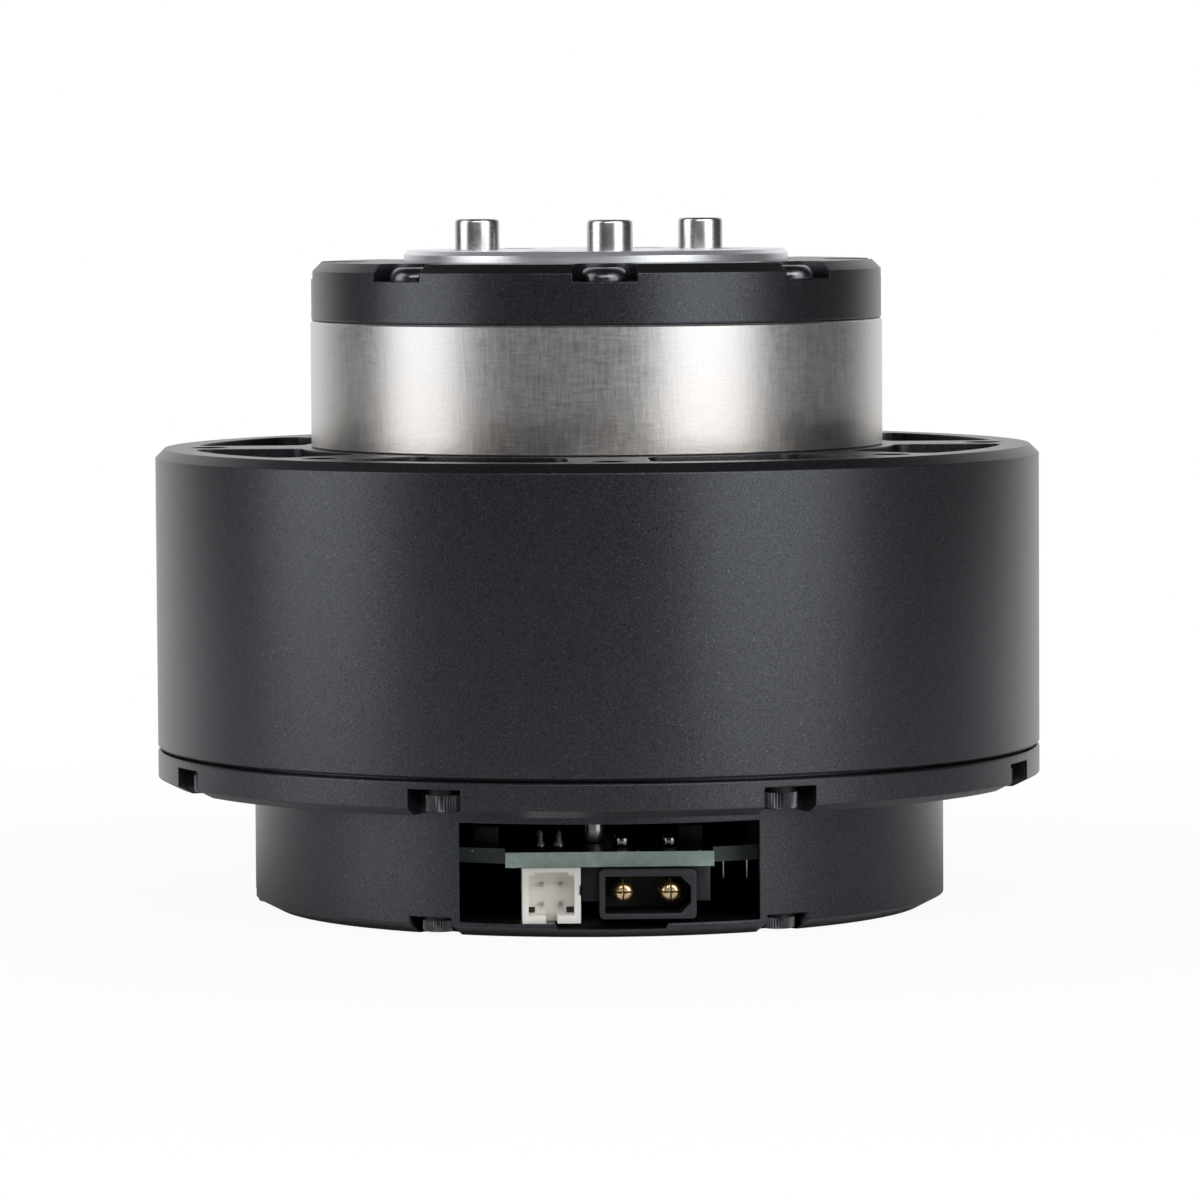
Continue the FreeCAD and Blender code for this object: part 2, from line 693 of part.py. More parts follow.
def planet_carrier():
    """The carrier cage: two plates joined by three pillars between the planets."""
    cage = rod(CARRIER_R, CARRIER_BOTTOM, OUTPUT_BEARING_BOTTOM)
    cage = cage.fuse(rod(CARRIER_HUB_R, CARRIER_HUB_BOTTOM, CARRIER_BOTTOM)).removeSplitter()
    cuts = [rod(CARRIER_BORE_R, CARRIER_HUB_BOTTOM, 50.0)]
    cuts.append(rod(SUN_TIP_R + 0.6, 49.0, OUTPUT_BEARING_BOTTOM))
    for angle in PLANET_ANGLES:
        centre = place(PLANET_CIRCLE_R, angle)
        cuts.append(rod(CARRIER_POCKET_R, GEAR_BOTTOM - 0.3, GEAR_TOP + 0.3, centre))
        cuts.append(rod(PLANET_PIN_R + PRESS_FIT / 2, CARRIER_BOTTOM, OUTPUT_BEARING_BOTTOM, centre))
    for angle in DOWEL_ANGLES:
        centre = place(CARRIER_SCREW_CIRCLE_R, angle)
        cuts.append(rod(1.6, CARRIER_BOTTOM, OUTPUT_BEARING_BOTTOM, centre))
        cuts.append(rod(2.9, CARRIER_BOTTOM, CARRIER_BOTTOM + 3.2, centre))
    return cage.cut(cuts)


def carrier_screws():
    """Three M3 socket screws that hold the carrier to the output flange."""
    return group([
        screw(place(CARRIER_SCREW_CIRCLE_R, a), CARRIER_BOTTOM + 3.2, 1, 1.5, 14.6, 2.75, 3.0, 1.4)
        for a in DOWEL_ANGLES
    ])


def carrier_bush():
    """The bronze bush that steadies the carrier on the sun gear's neck."""
    return tube(SUN_NECK_R + RUNNING_FIT, CARRIER_BORE_R - PRESS_FIT / 2, CARRIER_HUB_BOTTOM, 49.9)


def ring_gear():
    """The fixed steel ring: teeth inside, its outside bare between the housing and the cap."""
    spigot_r = RING_SEAT_R - 0.05
    root_r = MODULE * RING_TEETH / 2 + TOOTH_DEPTH
    seat_r = OUTPUT_BEARING[1]
    body = turned([
        (20.0, HOUSING_TOP - 1.0),
        (spigot_r, HOUSING_TOP - 1.0),
        (spigot_r, HOUSING_TOP),
        (RING_R - SEAM_CHAMFER, HOUSING_TOP),
        (RING_R, HOUSING_TOP + SEAM_CHAMFER),
        (RING_R, RING_TOP - SEAM_CHAMFER),
        (RING_R - SEAM_CHAMFER, RING_TOP),
        (seat_r, RING_TOP),
        (seat_r, OUTPUT_BEARING_BOTTOM),
        (20.0, OUTPUT_BEARING_BOTTOM),
    ])
    thickness = math.pi * MODULE / 2 + BACKLASH
    spaces = toothed(RING_TEETH, root_r, RING_TIP_R, thickness, ring_phase(), 49.0, GEAR_TOP + 0.8)
    relief = rod(root_r, GEAR_TOP + 0.6, OUTPUT_BEARING_BOTTOM + 1)
    body = body.cut(spaces.fuse(relief))
    return body.cut(around(rod(1.6, HOUSING_TOP, RING_TOP, place(CAP_SCREW_CIRCLE_R, 0)), EIGHTHS))


# ---------------------------------------------------------------- output

def output_flange():
    """The driven flange with its dowel holes and threaded holes."""
    body = turned([
        (0, OUTPUT_BEARING_BOTTOM),
        (FLANGE_SEAT_R - PRESS_FIT, OUTPUT_BEARING_BOTTOM),
        (FLANGE_SEAT_R - PRESS_FIT, SEAL_BOTTOM),
        (FLANGE_R, SEAL_BOTTOM),
        (FLANGE_R, FLANGE_TOP - FLANGE_BEVEL),
        (FLANGE_R - FLANGE_BEVEL, FLANGE_TOP),
        (0, FLANGE_TOP),
    ])
    cuts = []
    for angle in DOWEL_ANGLES:
        cuts.append(rod(DOWEL_SHANK_R, DOWEL_BOTTOM, FLANGE_TOP, place(OUTPUT_CIRCLE_R, angle)))
        screw_spot = place(CARRIER_SCREW_CIRCLE_R, angle)
        cuts.append(rod(1.5 + THREAD_FIT, OUTPUT_BEARING_BOTTOM, 65.4, screw_spot))
    for i in range(6):
        spot = place(OUTPUT_CIRCLE_R, OUTPUT_ANGLE + 30.0 + 60.0 * i)
        cuts.append(rod(OUTPUT_THREAD_R, OUTPUT_THREAD_BOTTOM, FLANGE_TOP, spot))
        cuts.append(countersink(OUTPUT_THREAD_R, OUTPUT_THREAD_R + 0.45, FLANGE_TOP, spot))
    return body.cut(cuts)


def output_dowels():
    """The three shouldered dowel pins that locate and drive what the flange carries."""
    chamfer = 0.3
    pin = turned([
        (0, DOWEL_BOTTOM),
        (DOWEL_SHANK_R, DOWEL_BOTTOM),
        (DOWEL_SHANK_R, FLANGE_TOP),
        (DOWEL_R, FLANGE_TOP),
        (DOWEL_R, DOWEL_TOP - chamfer),
        (DOWEL_R - chamfer, DOWEL_TOP),
        (0, DOWEL_TOP),
    ])
    pins = []
    for angle in DOWEL_ANGLES:
        copy = pin.copy()
        copy.translate(place(OUTPUT_CIRCLE_R, angle))
        pins.append(copy)
    return group(pins)


def output_seal():
    """The lip seal between the cap and the flange."""
    return turned([
        (FLANGE_R + 0.08, SEAL_BOTTOM + 0.05),
        (SEAL_R - 0.01, SEAL_BOTTOM + 0.05),
        (SEAL_R - 0.01, SEAL_TOP),
        (SEAL_R - 1.1, SEAL_TOP),
        (SEAL_R - 1.5, SEAL_BOTTOM + 0.7),
        (FLANGE_R + 0.08, SEAL_BOTTOM + 0.7),
    ])


# ---------------------------------------------------------------- driver electronics

def driver_board():
    """The round circuit board with the tab that carries the connectors."""
    board = rod(BOARD_R, BOARD_BOTTOM, BOARD_TOP)
    tab = block(-TAB_HALF_WIDTH, TAB_HALF_WIDTH, TAB_FRONT, -BOARD_R + 8, BOARD_BOTTOM, BOARD_TOP)
    board = board.fuse(tab).removeSplitter()
    cuts = around(rod(1.35, BOARD_BOTTOM, BOARD_TOP, place(STANDOFF_CIRCLE_R, 0)), STANDOFF_ANGLES)
    cuts += around(rod(LEAD_R + 0.1, BOARD_BOTTOM, BOARD_TOP, place(LEAD_PAD_CIRCLE_R, 0)), LEAD_ANGLES)
    return board.cut(cuts)


def board_standoffs():
    """Four threaded spacers that hang the board from the rear cover."""
    spacer = hexagon(2.6, BOARD_TOP, DRIVER_TOP, place(STANDOFF_CIRCLE_R, 0))
    stud = rod(1.25, DRIVER_TOP, 16.4, place(STANDOFF_CIRCLE_R, 0))
    hole = rod(1.25 + THREAD_FIT, BOARD_TOP, 13.4, place(STANDOFF_CIRCLE_R, 0))
    return group(around(spacer.fuse(stud).cut(hole), STANDOFF_ANGLES))


def board_screws():
    """Four M2.5 screws that hold the board to its standoffs."""
    return group([
        screw(place(STANDOFF_CIRCLE_R, a), BOARD_BOTTOM, 1, 1.25, 5.0, 2.2, 1.6, 1.0)
        for a in STANDOFF_ANGLES
    ])


def power_transistors():
    """The six switching transistors of the three-phase bridge, in pairs near the motor leads."""
    chips = []
    for x in (-10.0, 0.0, 10.0):
        for y in (11.0, 18.5):
            chips.append(block(x - 2.5, x + 2.5, y - 3, y + 3, BOARD_TOP, BOARD_TOP + 1.0))
    return group(chips)


def controller_chip():
    """The motor controller, under the board."""
    return block(-3.5, 3.5, -3.5, 3.5, BOARD_BOTTOM - 0.9, BOARD_BOTTOM)


def encoder_chip():
    """The encoder chip, on the axis under the magnet."""
    return block(-2.5, 2.5, -2.0, 2.0, BOARD_TOP, BOARD_TOP + 1.4)


def capacitors():
    """The supply capacitors behind the connectors."""
    cans = []
    for x in (-13.0, -2.4, 9.0):
        cans.append(block(x - 1.6, x + 1.6, -27.0, -24.4, BOARD_TOP, BOARD_TOP + 2.4))
    return group(cans)


def service_pins():
    """Three pins for setting up, below the board beside the power connector."""
    pitch = 2.54
    half = 0.25
    pins = []
    for i in range(3):
        x = 12.4 + pitch * i
        pins.append(block(x - half, x + half, -28.7 - half, -28.7 + half, BOARD_BOTTOM - 2.0, BOARD_BOTTOM))
    return group(pins)


def signal_connector():
    """The header's shell: an open box with a key notch and two slots in its floor."""
    half = SIGNAL_WIDTH / 2
    body = block(
        SIGNAL_X - half, SIGNAL_X + half, SIGNAL_FRONT, SIGNAL_BACK, SIGNAL_BOTTOM, BOARD_BOTTOM)
    side = 0.6
    floor = 0.85
    depth = 6.0
    inside = block(
        SIGNAL_X - half + side, SIGNAL_X + half - side, SIGNAL_FRONT - 1, SIGNAL_FRONT + depth,
        SIGNAL_BOTTOM + floor, BOARD_BOTTOM - 0.4)
    notch = block(SIGNAL_X - 0.55, SIGNAL_X + 0.55, SIGNAL_FRONT - 1, SIGNAL_FRONT + 4, 1.0, 3.0)
    return body.cut([inside, notch] + signal_pins().Solids)


def signal_pins():
    """Four square pins, bent up through the board."""
    half = 0.25
    pins = []
    for column in (-0.5, 0.5):
        for row in (-0.5, 0.5):
            x = SIGNAL_X + column * SIGNAL_PITCH
            z = SIGNAL_Z + row * SIGNAL_PITCH
            tail = SIGNAL_BACK + 1.6 - row * SIGNAL_PITCH
            level = block(x - half, x + half, SIGNAL_FRONT + 2.0, tail + half, z - half, z + half)
            riser = block(x - half, x + half, tail - half, tail + half, z - half, BOARD_BOTTOM)
            pins.append(level.fuse(riser).removeSplitter())
    return group(pins)


def power_outline(inset, y):
    """The keyed outline of the power connector: two corners cut on the +X side."""
    x0 = POWER_X - POWER_WIDTH / 2 + inset
    x1 = POWER_X + POWER_WIDTH / 2 - inset
    z0 = POWER_BOTTOM + inset
    z1 = POWER_TOP - inset
    cut = 1.3 - 0.4 * inset
    corners = [V(x0, y, z0), V(x1 - cut, y, z0), V(x1, y, z0 + cut), V(x1, y, z1 - cut),
               V(x1 - cut, y, z1), V(x0, y, z1)]
    return Part.Face(Part.makePolygon(corners + corners[:1]))


def power_connector():
    """The power connector's shell and the block behind it that sits on the board."""
    shell = power_outline(0.0, POWER_FRONT).extrude(V(0, POWER_BACK - POWER_FRONT, 0))
    cavity = power_outline(0.62, POWER_FRONT).extrude(V(0, 7.5, 0))
    rear = block(POWER_X - POWER_WIDTH / 2, 10.8, -33.4, POWER_BACK, 3.5, BOARD_BOTTOM)
    body = shell.fuse(rear).removeSplitter().cut(cavity)
    bores = []
    for side in (-0.5, 0.5):
        spot = V(POWER_X + side * POWER_PITCH, POWER_FRONT + 7.5, POWER_Z)
        bores.append(Part.makeCylinder(POWER_PIN_R, 2.5, spot, V(0, 1, 0)))
    return body.cut(bores)


def power_contacts():
    """Two gold-plated round pins with crossed slits in their noses."""
    pins = []
    for side in (-0.5, 0.5):
        x = POWER_X + side * POWER_PITCH
        y0 = POWER_FRONT + 1.0
        pin = Part.makeCylinder(POWER_PIN_R, 9.0, V(x, y0, POWER_Z), V(0, 1, 0))
        slit = 0.15
        reach = 1.5
        slits = [block(x - slit, x + slit, y0 - 1, y0 + 4, POWER_Z - reach, POWER_Z + reach)]
        slits.append(block(x - reach, x + reach, y0 - 1, y0 + 4, POWER_Z - slit, POWER_Z + slit))
        pins.append(pin.cut(slits))
    return group(pins)


# ---------------------------------------------------------------- sub-parts

def parts():
    """Every sub-part by its node name."""
    nodes = {
        "motor_housing": motor_housing(),
        "rear_cover": rear_cover(),
        "rear_cover_screws": rear_cover_screws(),
        "driver_cover": driver_cover(),
        "driver_cover_screws": driver_cover_screws(),
        "front_cap": front_cap(),
        "front_cap_screws": front_cap_screws(),
        "stator_core": stator_core(),
        "stator_windings": stator_windings(),
        "phase_leads": phase_leads(),
        "bearing_circlip": bearing_circlip(),
        "rear_bearing_outer_race": outer_race(ROTOR_BEARING, REAR_BEARING_BOTTOM),
        "front_bearing_outer_race": outer_race(ROTOR_BEARING, FRONT_BEARING_BOTTOM),
        "ring_gear": ring_gear(),
        "output_bearing_outer_race": outer_race(OUTPUT_BEARING, OUTPUT_BEARING_BOTTOM),
        "output_seal": output_seal(),
        "rotor_bell": rotor_bell(),
        "rotor_magnets": rotor_magnets(),
        "rotor_shaft": rotor_shaft(),
        "rotor_screws": rotor_screws(),
        "encoder_magnet": encoder_magnet(),
        "rear_bearing_inner_race": inner_race(ROTOR_BEARING, REAR_BEARING_BOTTOM),
        "front_bearing_inner_race": inner_race(ROTOR_BEARING, FRONT_BEARING_BOTTOM),
        "rear_bearing_balls": balls(ROTOR_BEARING, REAR_BEARING_BOTTOM),
        "front_bearing_balls": balls(ROTOR_BEARING, FRONT_BEARING_BOTTOM),
        "sun_gear": sun_gear(),
        "planet_carrier": planet_carrier(),
        "planet_pins": planet_pins(),
        "carrier_screws": carrier_screws(),
        "carrier_bush": carrier_bush(),
        "output_flange": output_flange(),
        "output_dowels": output_dowels(),
        "output_bearing_inner_race": inner_race(OUTPUT_BEARING, OUTPUT_BEARING_BOTTOM),
        "output_bearing_balls": balls(OUTPUT_BEARING, OUTPUT_BEARING_BOTTOM),
        "driver_board": driver_board(),
        "board_standoffs": board_standoffs(),
        "board_screws": board_screws(),
        "power_transistors": power_transistors(),
        "controller_chip": controller_chip(),
        "encoder_chip": encoder_chip(),
        "capacitors": capacitors(),
        "service_pins": service_pins(),
        "signal_connector": signal_connector(),
        "signal_pins": signal_pins(),
        "power_connector": power_connector(),
        "power_contacts": power_contacts(),
    }
    for i, angle in enumerate(PLANET_ANGLES):
        nodes["planet_gear_%d" % (i + 1)] = planet_gear(angle)
        nodes["planet_bush_%d" % (i + 1)] = planet_bush(angle)
    return nodes


def main():
    """Write one STEP file for each sub-part."""
    os.makedirs("parts", exist_ok=True)
    for name, shape in parts().items():
        shape.exportStep("parts/%s.step" % name)


main()
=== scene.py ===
import math

import bmesh
import bpy
from mathutils import Matrix, Vector


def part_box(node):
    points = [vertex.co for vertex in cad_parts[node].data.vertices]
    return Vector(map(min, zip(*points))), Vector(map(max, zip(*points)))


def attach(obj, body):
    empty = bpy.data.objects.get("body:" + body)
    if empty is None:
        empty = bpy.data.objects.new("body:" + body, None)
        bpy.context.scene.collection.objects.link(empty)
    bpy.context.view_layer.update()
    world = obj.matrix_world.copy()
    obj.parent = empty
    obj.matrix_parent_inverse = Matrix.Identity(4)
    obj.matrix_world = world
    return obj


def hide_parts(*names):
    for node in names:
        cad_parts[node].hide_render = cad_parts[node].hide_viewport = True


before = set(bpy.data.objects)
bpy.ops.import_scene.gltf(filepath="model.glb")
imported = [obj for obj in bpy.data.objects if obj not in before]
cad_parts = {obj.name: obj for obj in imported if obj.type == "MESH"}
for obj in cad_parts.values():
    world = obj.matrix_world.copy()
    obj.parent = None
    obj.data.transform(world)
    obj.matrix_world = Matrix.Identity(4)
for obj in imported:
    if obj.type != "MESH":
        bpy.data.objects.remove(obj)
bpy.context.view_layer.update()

MM = 0.001

# ---------------------------------------------------------------- sizes shared with the solids, in mm

COVER_SCREWS = [60.0 * i for i in range(6)]
COVER_SCREW_R = 36.2
PLATE_SCREWS = [22.5 + 45.0 * i for i in range(8)]
PLATE_SCREW_R = 46.1
CAP_SCREWS = [45.0 * i for i in range(8)]
CAP_SCREW_R = 28.6
BOARD_TOP = 9.1
BOARD_BOTTOM = 7.5
OUTPUT_ANGLE = -85.7
DOWEL_R = 2.5
DOWEL_CIRCLE = 14.5
DOWEL_FOOT = 66.2
FLANGE_FACE = 72.6
DOWEL_TOP = 76.0
SIGNAL_X = -6.25
SIGNAL_HALF_PITCH = 1.0
POWER_X = 4.0
POWER_HALF_PITCH = 2.53
POWER_HALF_WIDTH = 5.15


# ---------------------------------------------------------------- handling

def let_go():
    """Nothing is selected."""
    if bpy.context.object and bpy.context.object.mode != "OBJECT":
        bpy.ops.object.mode_set(mode="OBJECT")
    bpy.ops.object.select_all(action="DESELECT")


def pick(piece):
    """Only this piece is selected and active."""
    let_go()
    piece.select_set(True)
    bpy.context.view_layer.objects.active = piece


def edit(piece, kind="FACE"):
    """Opens the piece in edit mode with nothing selected."""
    pick(piece)
    bpy.ops.object.mode_set(mode="EDIT")
    bpy.ops.mesh.select_mode(type=kind)
    bpy.ops.mesh.select_all(action="DESELECT")


def choose(test, kind="faces"):
    """Selects what passes the test in the open mesh."""
    mesh = bpy.context.object.data
    form = bmesh.from_edit_mesh(mesh)
    form.normal_update()
    for item in getattr(form, kind):
        item.select_set(bool(test(item)))
    form.select_flush_mode()
    bmesh.update_edit_mesh(mesh)


def close():
    """Leaves edit mode."""
    bpy.ops.object.mode_set(mode="OBJECT")


def settle(piece):
    """Puts the piece's place into its mesh."""
    pick(piece)
    bpy.ops.object.transform_apply(location=True, rotation=True, scale=True)


def named(name):
    """Names the new active piece."""
    piece = bpy.context.object
    piece.name = name
    piece.data.name = name
    return piece


def rod(name, r, length, centre, sides, along="Z"):
    """A round bar by its middle, in mm, standing along Z or lying along Y."""
    let_go()
    turn = {"Z": (0, 0, 0), "Y": (math.pi / 2, 0, 0)}[along]
    bpy.ops.mesh.primitive_cylinder_add(
        vertices=sides, radius=r * MM, depth=length * MM,
        location=[c * MM for c in centre], rotation=turn)
    piece = named(name)
    settle(piece)
    return piece


def block(name, low, high):
    """A square block between two corners, in mm."""
    let_go()
    middle = [(a + b) / 2 * MM for a, b in zip(low, high)]
    bpy.ops.mesh.primitive_cube_add(size=1, location=middle)
    piece = named(name)
    piece.scale = [(b - a) * MM for a, b in zip(low, high)]
    settle(piece)
    return piece


def carve(piece, cutter, operation="DIFFERENCE"):
    """Cuts the piece with another, or joins them with UNION; the other is then gone."""
    pick(piece)
    tool = piece.modifiers.new("carve", "BOOLEAN")
    tool.operation = operation
    tool.solver = "EXACT"
    tool.object = cutter
    bpy.ops.object.modifier_apply(modifier="carve")
    pick(cutter)
    bpy.ops.object.delete()


def soften(piece, width, segments=2, angle=30):
    """Breaks the piece's sharp edges."""
    pick(piece)
    tool = piece.modifiers.new("soften", "BEVEL")
    tool.width = width * MM
    tool.segments = segments
    tool.limit_method = "ANGLE"
    tool.angle_limit = math.radians(angle)
    bpy.ops.object.modifier_apply(modifier="soften")
    bpy.ops.object.shade_smooth_by_angle(angle=math.radians(angle))
    return piece


def copies(piece, places):
    """The piece once at each place, each place a turn about the output axis in degrees."""
    made = []
    for i, angle in enumerate(places):
        pick(piece)
        bpy.ops.object.duplicate(linked=False)
        twin = named("%s_%d" % (piece.name, i))
        twin.matrix_world = Matrix.Rotation(math.radians(angle), 4, "Z") @ twin.matrix_world
        settle(twin)
        made.append(twin)
    pick(piece)
    bpy.ops.object.delete()
    return made


def gathered(name, pieces):
    """Several pieces joined into one."""
    let_go()
    for piece in pieces:
        piece.select_set(True)
    bpy.context.view_layer.objects.active = pieces[0]
    if len(pieces) > 1:
        bpy.ops.object.join()
    return named(name)


# ---------------------------------------------------------------- finishes

def finish_named(name):
    """A new material with its shader."""
    material = bpy.data.materials.new(name)
    material.use_nodes = True
    nodes = material.node_tree.nodes
    shader = nodes["Principled BSDF"]
    return material, nodes, material.node_tree.links, shader


def add(nodes, kind, **settings):
    """A node with some of its settings filled."""
    node = nodes.new(kind)
    for key, value in settings.items():
        setattr(node, key, value)
    return node


def noise(nodes, links, where, scale, detail, rough):
    """A noise pattern on some coordinates."""
    node = add(nodes, "ShaderNodeTexNoise")
    node.inputs["Scale"].default_value = scale
    node.inputs["Detail"].default_value = detail
    node.inputs["Roughness"].default_value = rough
    links.new(where, node.inputs["Vector"])
    return node.outputs["Fac"]


def ramp(nodes, links, value, low, high, from_low, from_high):
    """Maps a pattern from one span of values to another."""
    node = add(nodes, "ShaderNodeMapRange")
    node.inputs["From Min"].default_value = from_low
    node.inputs["From Max"].default_value = from_high
    node.inputs["To Min"].default_value = low
    node.inputs["To Max"].default_value = high
    links.new(value, node.inputs["Value"])
    return node.outputs["Result"]


def mix(nodes, links, share, first, second):
    """A colour between two."""
    node = add(nodes, "ShaderNodeMix", data_type="RGBA")
    links.new(share, node.inputs["Factor"])
    node.inputs["A"].default_value = (*first, 1.0)
    node.inputs["B"].default_value = (*second, 1.0)
    return node.outputs["Result"]


def math_node(nodes, links, operation, first, second):
    """One sum on two patterns or numbers."""
    node = add(nodes, "ShaderNodeMath", operation=operation)
    for socket, value in zip(node.inputs, (first, second)):
        if hasattr(value, "links"):
            links.new(value, socket)
        else:
            socket.default_value = value
    return node.outputs["Value"]


def object_place(nodes):
    """The place on the object, in metres."""
    return add(nodes, "ShaderNodeTexCoord").outputs["Object"]


def object_axes(nodes, links):
    """The place on the object, split into its three axes."""
    split = add(nodes, "ShaderNodeSeparateXYZ")
    links.new(object_place(nodes), split.inputs["Vector"])
    return [split.outputs[k] for k in "XYZ"]


def from_axis(nodes, links, x, y):
    """The distance from the output axis."""
    square = math_node(nodes, links, "ADD",
                       math_node(nodes, links, "MULTIPLY", x, x),
                       math_node(nodes, links, "MULTIPLY", y, y))
    return math_node(nodes, links, "SQRT", square, 0.0)


def round_place(nodes, links, around, across, up):
    """The place on a turned piece, each way with its own stretch: round it, out from its axis and up."""
    radius = 0.03
    x, y, z = object_axes(nodes, links)
    turn = math_node(nodes, links, "ARCTAN2", y, x)
    turn = math_node(nodes, links, "MULTIPLY", turn, radius * around)
    out = math_node(nodes, links, "MULTIPLY", from_axis(nodes, links, x, y), across)
    height = math_node(nodes, links, "MULTIPLY", z, up)
    join = add(nodes, "ShaderNodeCombineXYZ")
    for name, value in zip("XYZ", (turn, out, height)):
        links.new(value, join.inputs[name])
    return join.outputs["Vector"]


def bump(nodes, links, shader, height, strength, depth):
    """Relief on the shader's surface."""
    node = add(nodes, "ShaderNodeBump")
    node.inputs["Strength"].default_value = strength
    node.inputs["Distance"].default_value = depth
    links.new(height, node.inputs["Height"])
    links.new(node.outputs["Normal"], shader.inputs["Normal"])
    return node


def black_anodised():
    """Bead-blasted black anodising: a fine glinting grain, and edges that catch the light."""
    material, nodes, links, shader = finish_named("black_anodised_finish")
    place = object_place(nodes)
    grain = noise(nodes, links, place, 6200, 2.0, 0.6)
    glints = noise(nodes, links, place, 7600, 1.0, 0.5)
    cloud = noise(nodes, links, place, 90, 4.0, 0.55)
    tone = ramp(nodes, links, cloud, 0.0, 1.0, 0.3, 0.7)
    colour = mix(nodes, links, tone, (0.0020, 0.0021, 0.0025), (0.0036, 0.0037, 0.0043))
    links.new(colour, shader.inputs["Base Color"])
    gloss = math_node(nodes, links, "ADD", ramp(nodes, links, grain, 0.28, 0.64, 0.3, 0.7),
                      ramp(nodes, links, glints, 0.0, 1.3, 0.67, 0.80))
    links.new(gloss, shader.inputs["Specular IOR Level"])
    shader.inputs["IOR"].default_value = 1.80
    shader.inputs["Specular Tint"].default_value = (0.84, 0.885, 1.0, 1.0)
    rough = ramp(nodes, links, grain, 0.28, 0.38, 0.3, 0.7)
    links.new(rough, shader.inputs["Roughness"])
    relief = bump(nodes, links, shader, grain, 0.24, 0.00005)
    edge = add(nodes, "ShaderNodeBevel", samples=5)
    edge.inputs["Radius"].default_value = 0.00018
    links.new(edge.outputs["Normal"], relief.inputs["Normal"])
    return material


def turned_steel():
    """Bare turned steel: marks round the ring, a faint upright grain, and a painted warm floor reflection
    low down.
    """
    material, nodes, links, shader = finish_named("turned_steel_finish")
    lines = noise(nodes, links, round_place(nodes, links, 700, 900, 5600), 1.0, 3.0, 0.6)
    cross = noise(nodes, links, round_place(nodes, links, 4800, 900, 420), 1.0, 3.0, 0.6)
    cloud = noise(nodes, links, round_place(nodes, links, 160, 160, 110), 1.0, 4.0, 0.6)
    marks = math_node(nodes, links, "ADD", lines, cross)
    height = object_axes(nodes, links)[2]
    # painted reflection: below 62 mm up the steel turns warmer, fully so by 51 mm, standing for the warm
    # floor it reflects; a random cloud breaks it up
    painted_warm_reflection = ramp(nodes, links, height, 1.0, 0.0, 0.051, 0.062)
    tone = math_node(nodes, links, "MULTIPLY", painted_warm_reflection, ramp(nodes, links, cloud, 0.5, 1.0, 0.35, 0.65))
    colour = mix(nodes, links, tone, (0.652, 0.645, 0.643), (0.700, 0.658, 0.616))
    shade = ramp(nodes, links, marks, 0.88, 1.08, 0.65, 1.35)
    deep = add(nodes, "ShaderNodeMix", data_type="RGBA", blend_type="MULTIPLY")
    deep.inputs["Factor"].default_value = 1.0
    links.new(colour, deep.inputs["A"])
    links.new(shade, deep.inputs["B"])
    links.new(deep.outputs["Result"], shader.inputs["Base Color"])
    shader.inputs["Metallic"].default_value = 1.0
    rough = ramp(nodes, links, marks, 0.28, 0.39, 0.6, 1.4)
    links.new(rough, shader.inputs["Roughness"])
    bump(nodes, links, shader, marks, 0.22, 0.00004)
    return material


def turned_aluminium():
    """Clear-anodised aluminium with fine turning rings."""
    material, nodes, links, shader = finish_named("turned_aluminium_finish")
    rings = noise(nodes, links, round_place(nodes, links, 30, 9000, 9000), 1.0, 2.0, 0.5)
    grain = noise(nodes, links, object_place(nodes), 3000, 2.0, 0.5)
    tone = ramp(nodes, links, grain, 0.0, 1.0, 0.3, 0.7)
    colour = mix(nodes, links, tone, (0.880, 0.900, 0.940), (0.940, 0.960, 1.0))
    links.new(colour, shader.inputs["Base Color"])
    shader.inputs["Metallic"].default_value = 0.85
    rough = ramp(nodes, links, rings, 0.28, 0.38, 0.35, 0.65)
    links.new(rough, shader.inputs["Roughness"])
    bump(nodes, links, shader, rings, 0.10, 0.00003)
    return material


def metal(name, dark, light, rough_low, rough_high, scale=2500, relief=0.08):
    """A plain metal finish with a fine grain in tone and gloss."""
    material, nodes, links, shader = finish_named(name)
    place = object_place(nodes)
    grain = noise(nodes, links, place, scale, 3.0, 0.55)
    cloud = noise(nodes, links, place, scale / 12, 3.0, 0.55)
    tone = ramp(nodes, links, cloud, 0.0, 1.0, 0.3, 0.7)
    colour = mix(nodes, links, tone, dark, light)
    links.new(colour, shader.inputs["Base Color"])
    shader.inputs["Metallic"].default_value = 1.0
    rough = ramp(nodes, links, grain, rough_low, rough_high, 0.3, 0.7)
    links.new(rough, shader.inputs["Roughness"])
    bump(nodes, links, shader, grain, relief, 0.00003)
    return material


def moulded(name, dark, light, rough_low, rough_high, seen_through=0.0):
    """A moulded plastic or coated surface with a fine grain."""
    scale, relief = 2600, 0.10
    material, nodes, links, shader = finish_named(name)
    place = object_place(nodes)
    grain = noise(nodes, links, place, scale, 3.0, 0.55)
    cloud = noise(nodes, links, place, scale / 10, 3.0, 0.5)
    tone = ramp(nodes, links, cloud, 0.0, 1.0, 0.3, 0.7)
    colour = mix(nodes, links, tone, dark, light)
    links.new(colour, shader.inputs["Base Color"])
    rough = ramp(nodes, links, grain, rough_low, rough_high, 0.3, 0.7)
    links.new(rough, shader.inputs["Roughness"])
    if seen_through:
        shader.inputs["Subsurface Weight"].default_value = seen_through
        shader.inputs["Subsurface Radius"].default_value = (0.0012, 0.0010, 0.0007)
        shader.inputs["Subsurface Scale"].default_value = 1.0
    bump(nodes, links, shader, grain, relief, 0.00003)
    return material


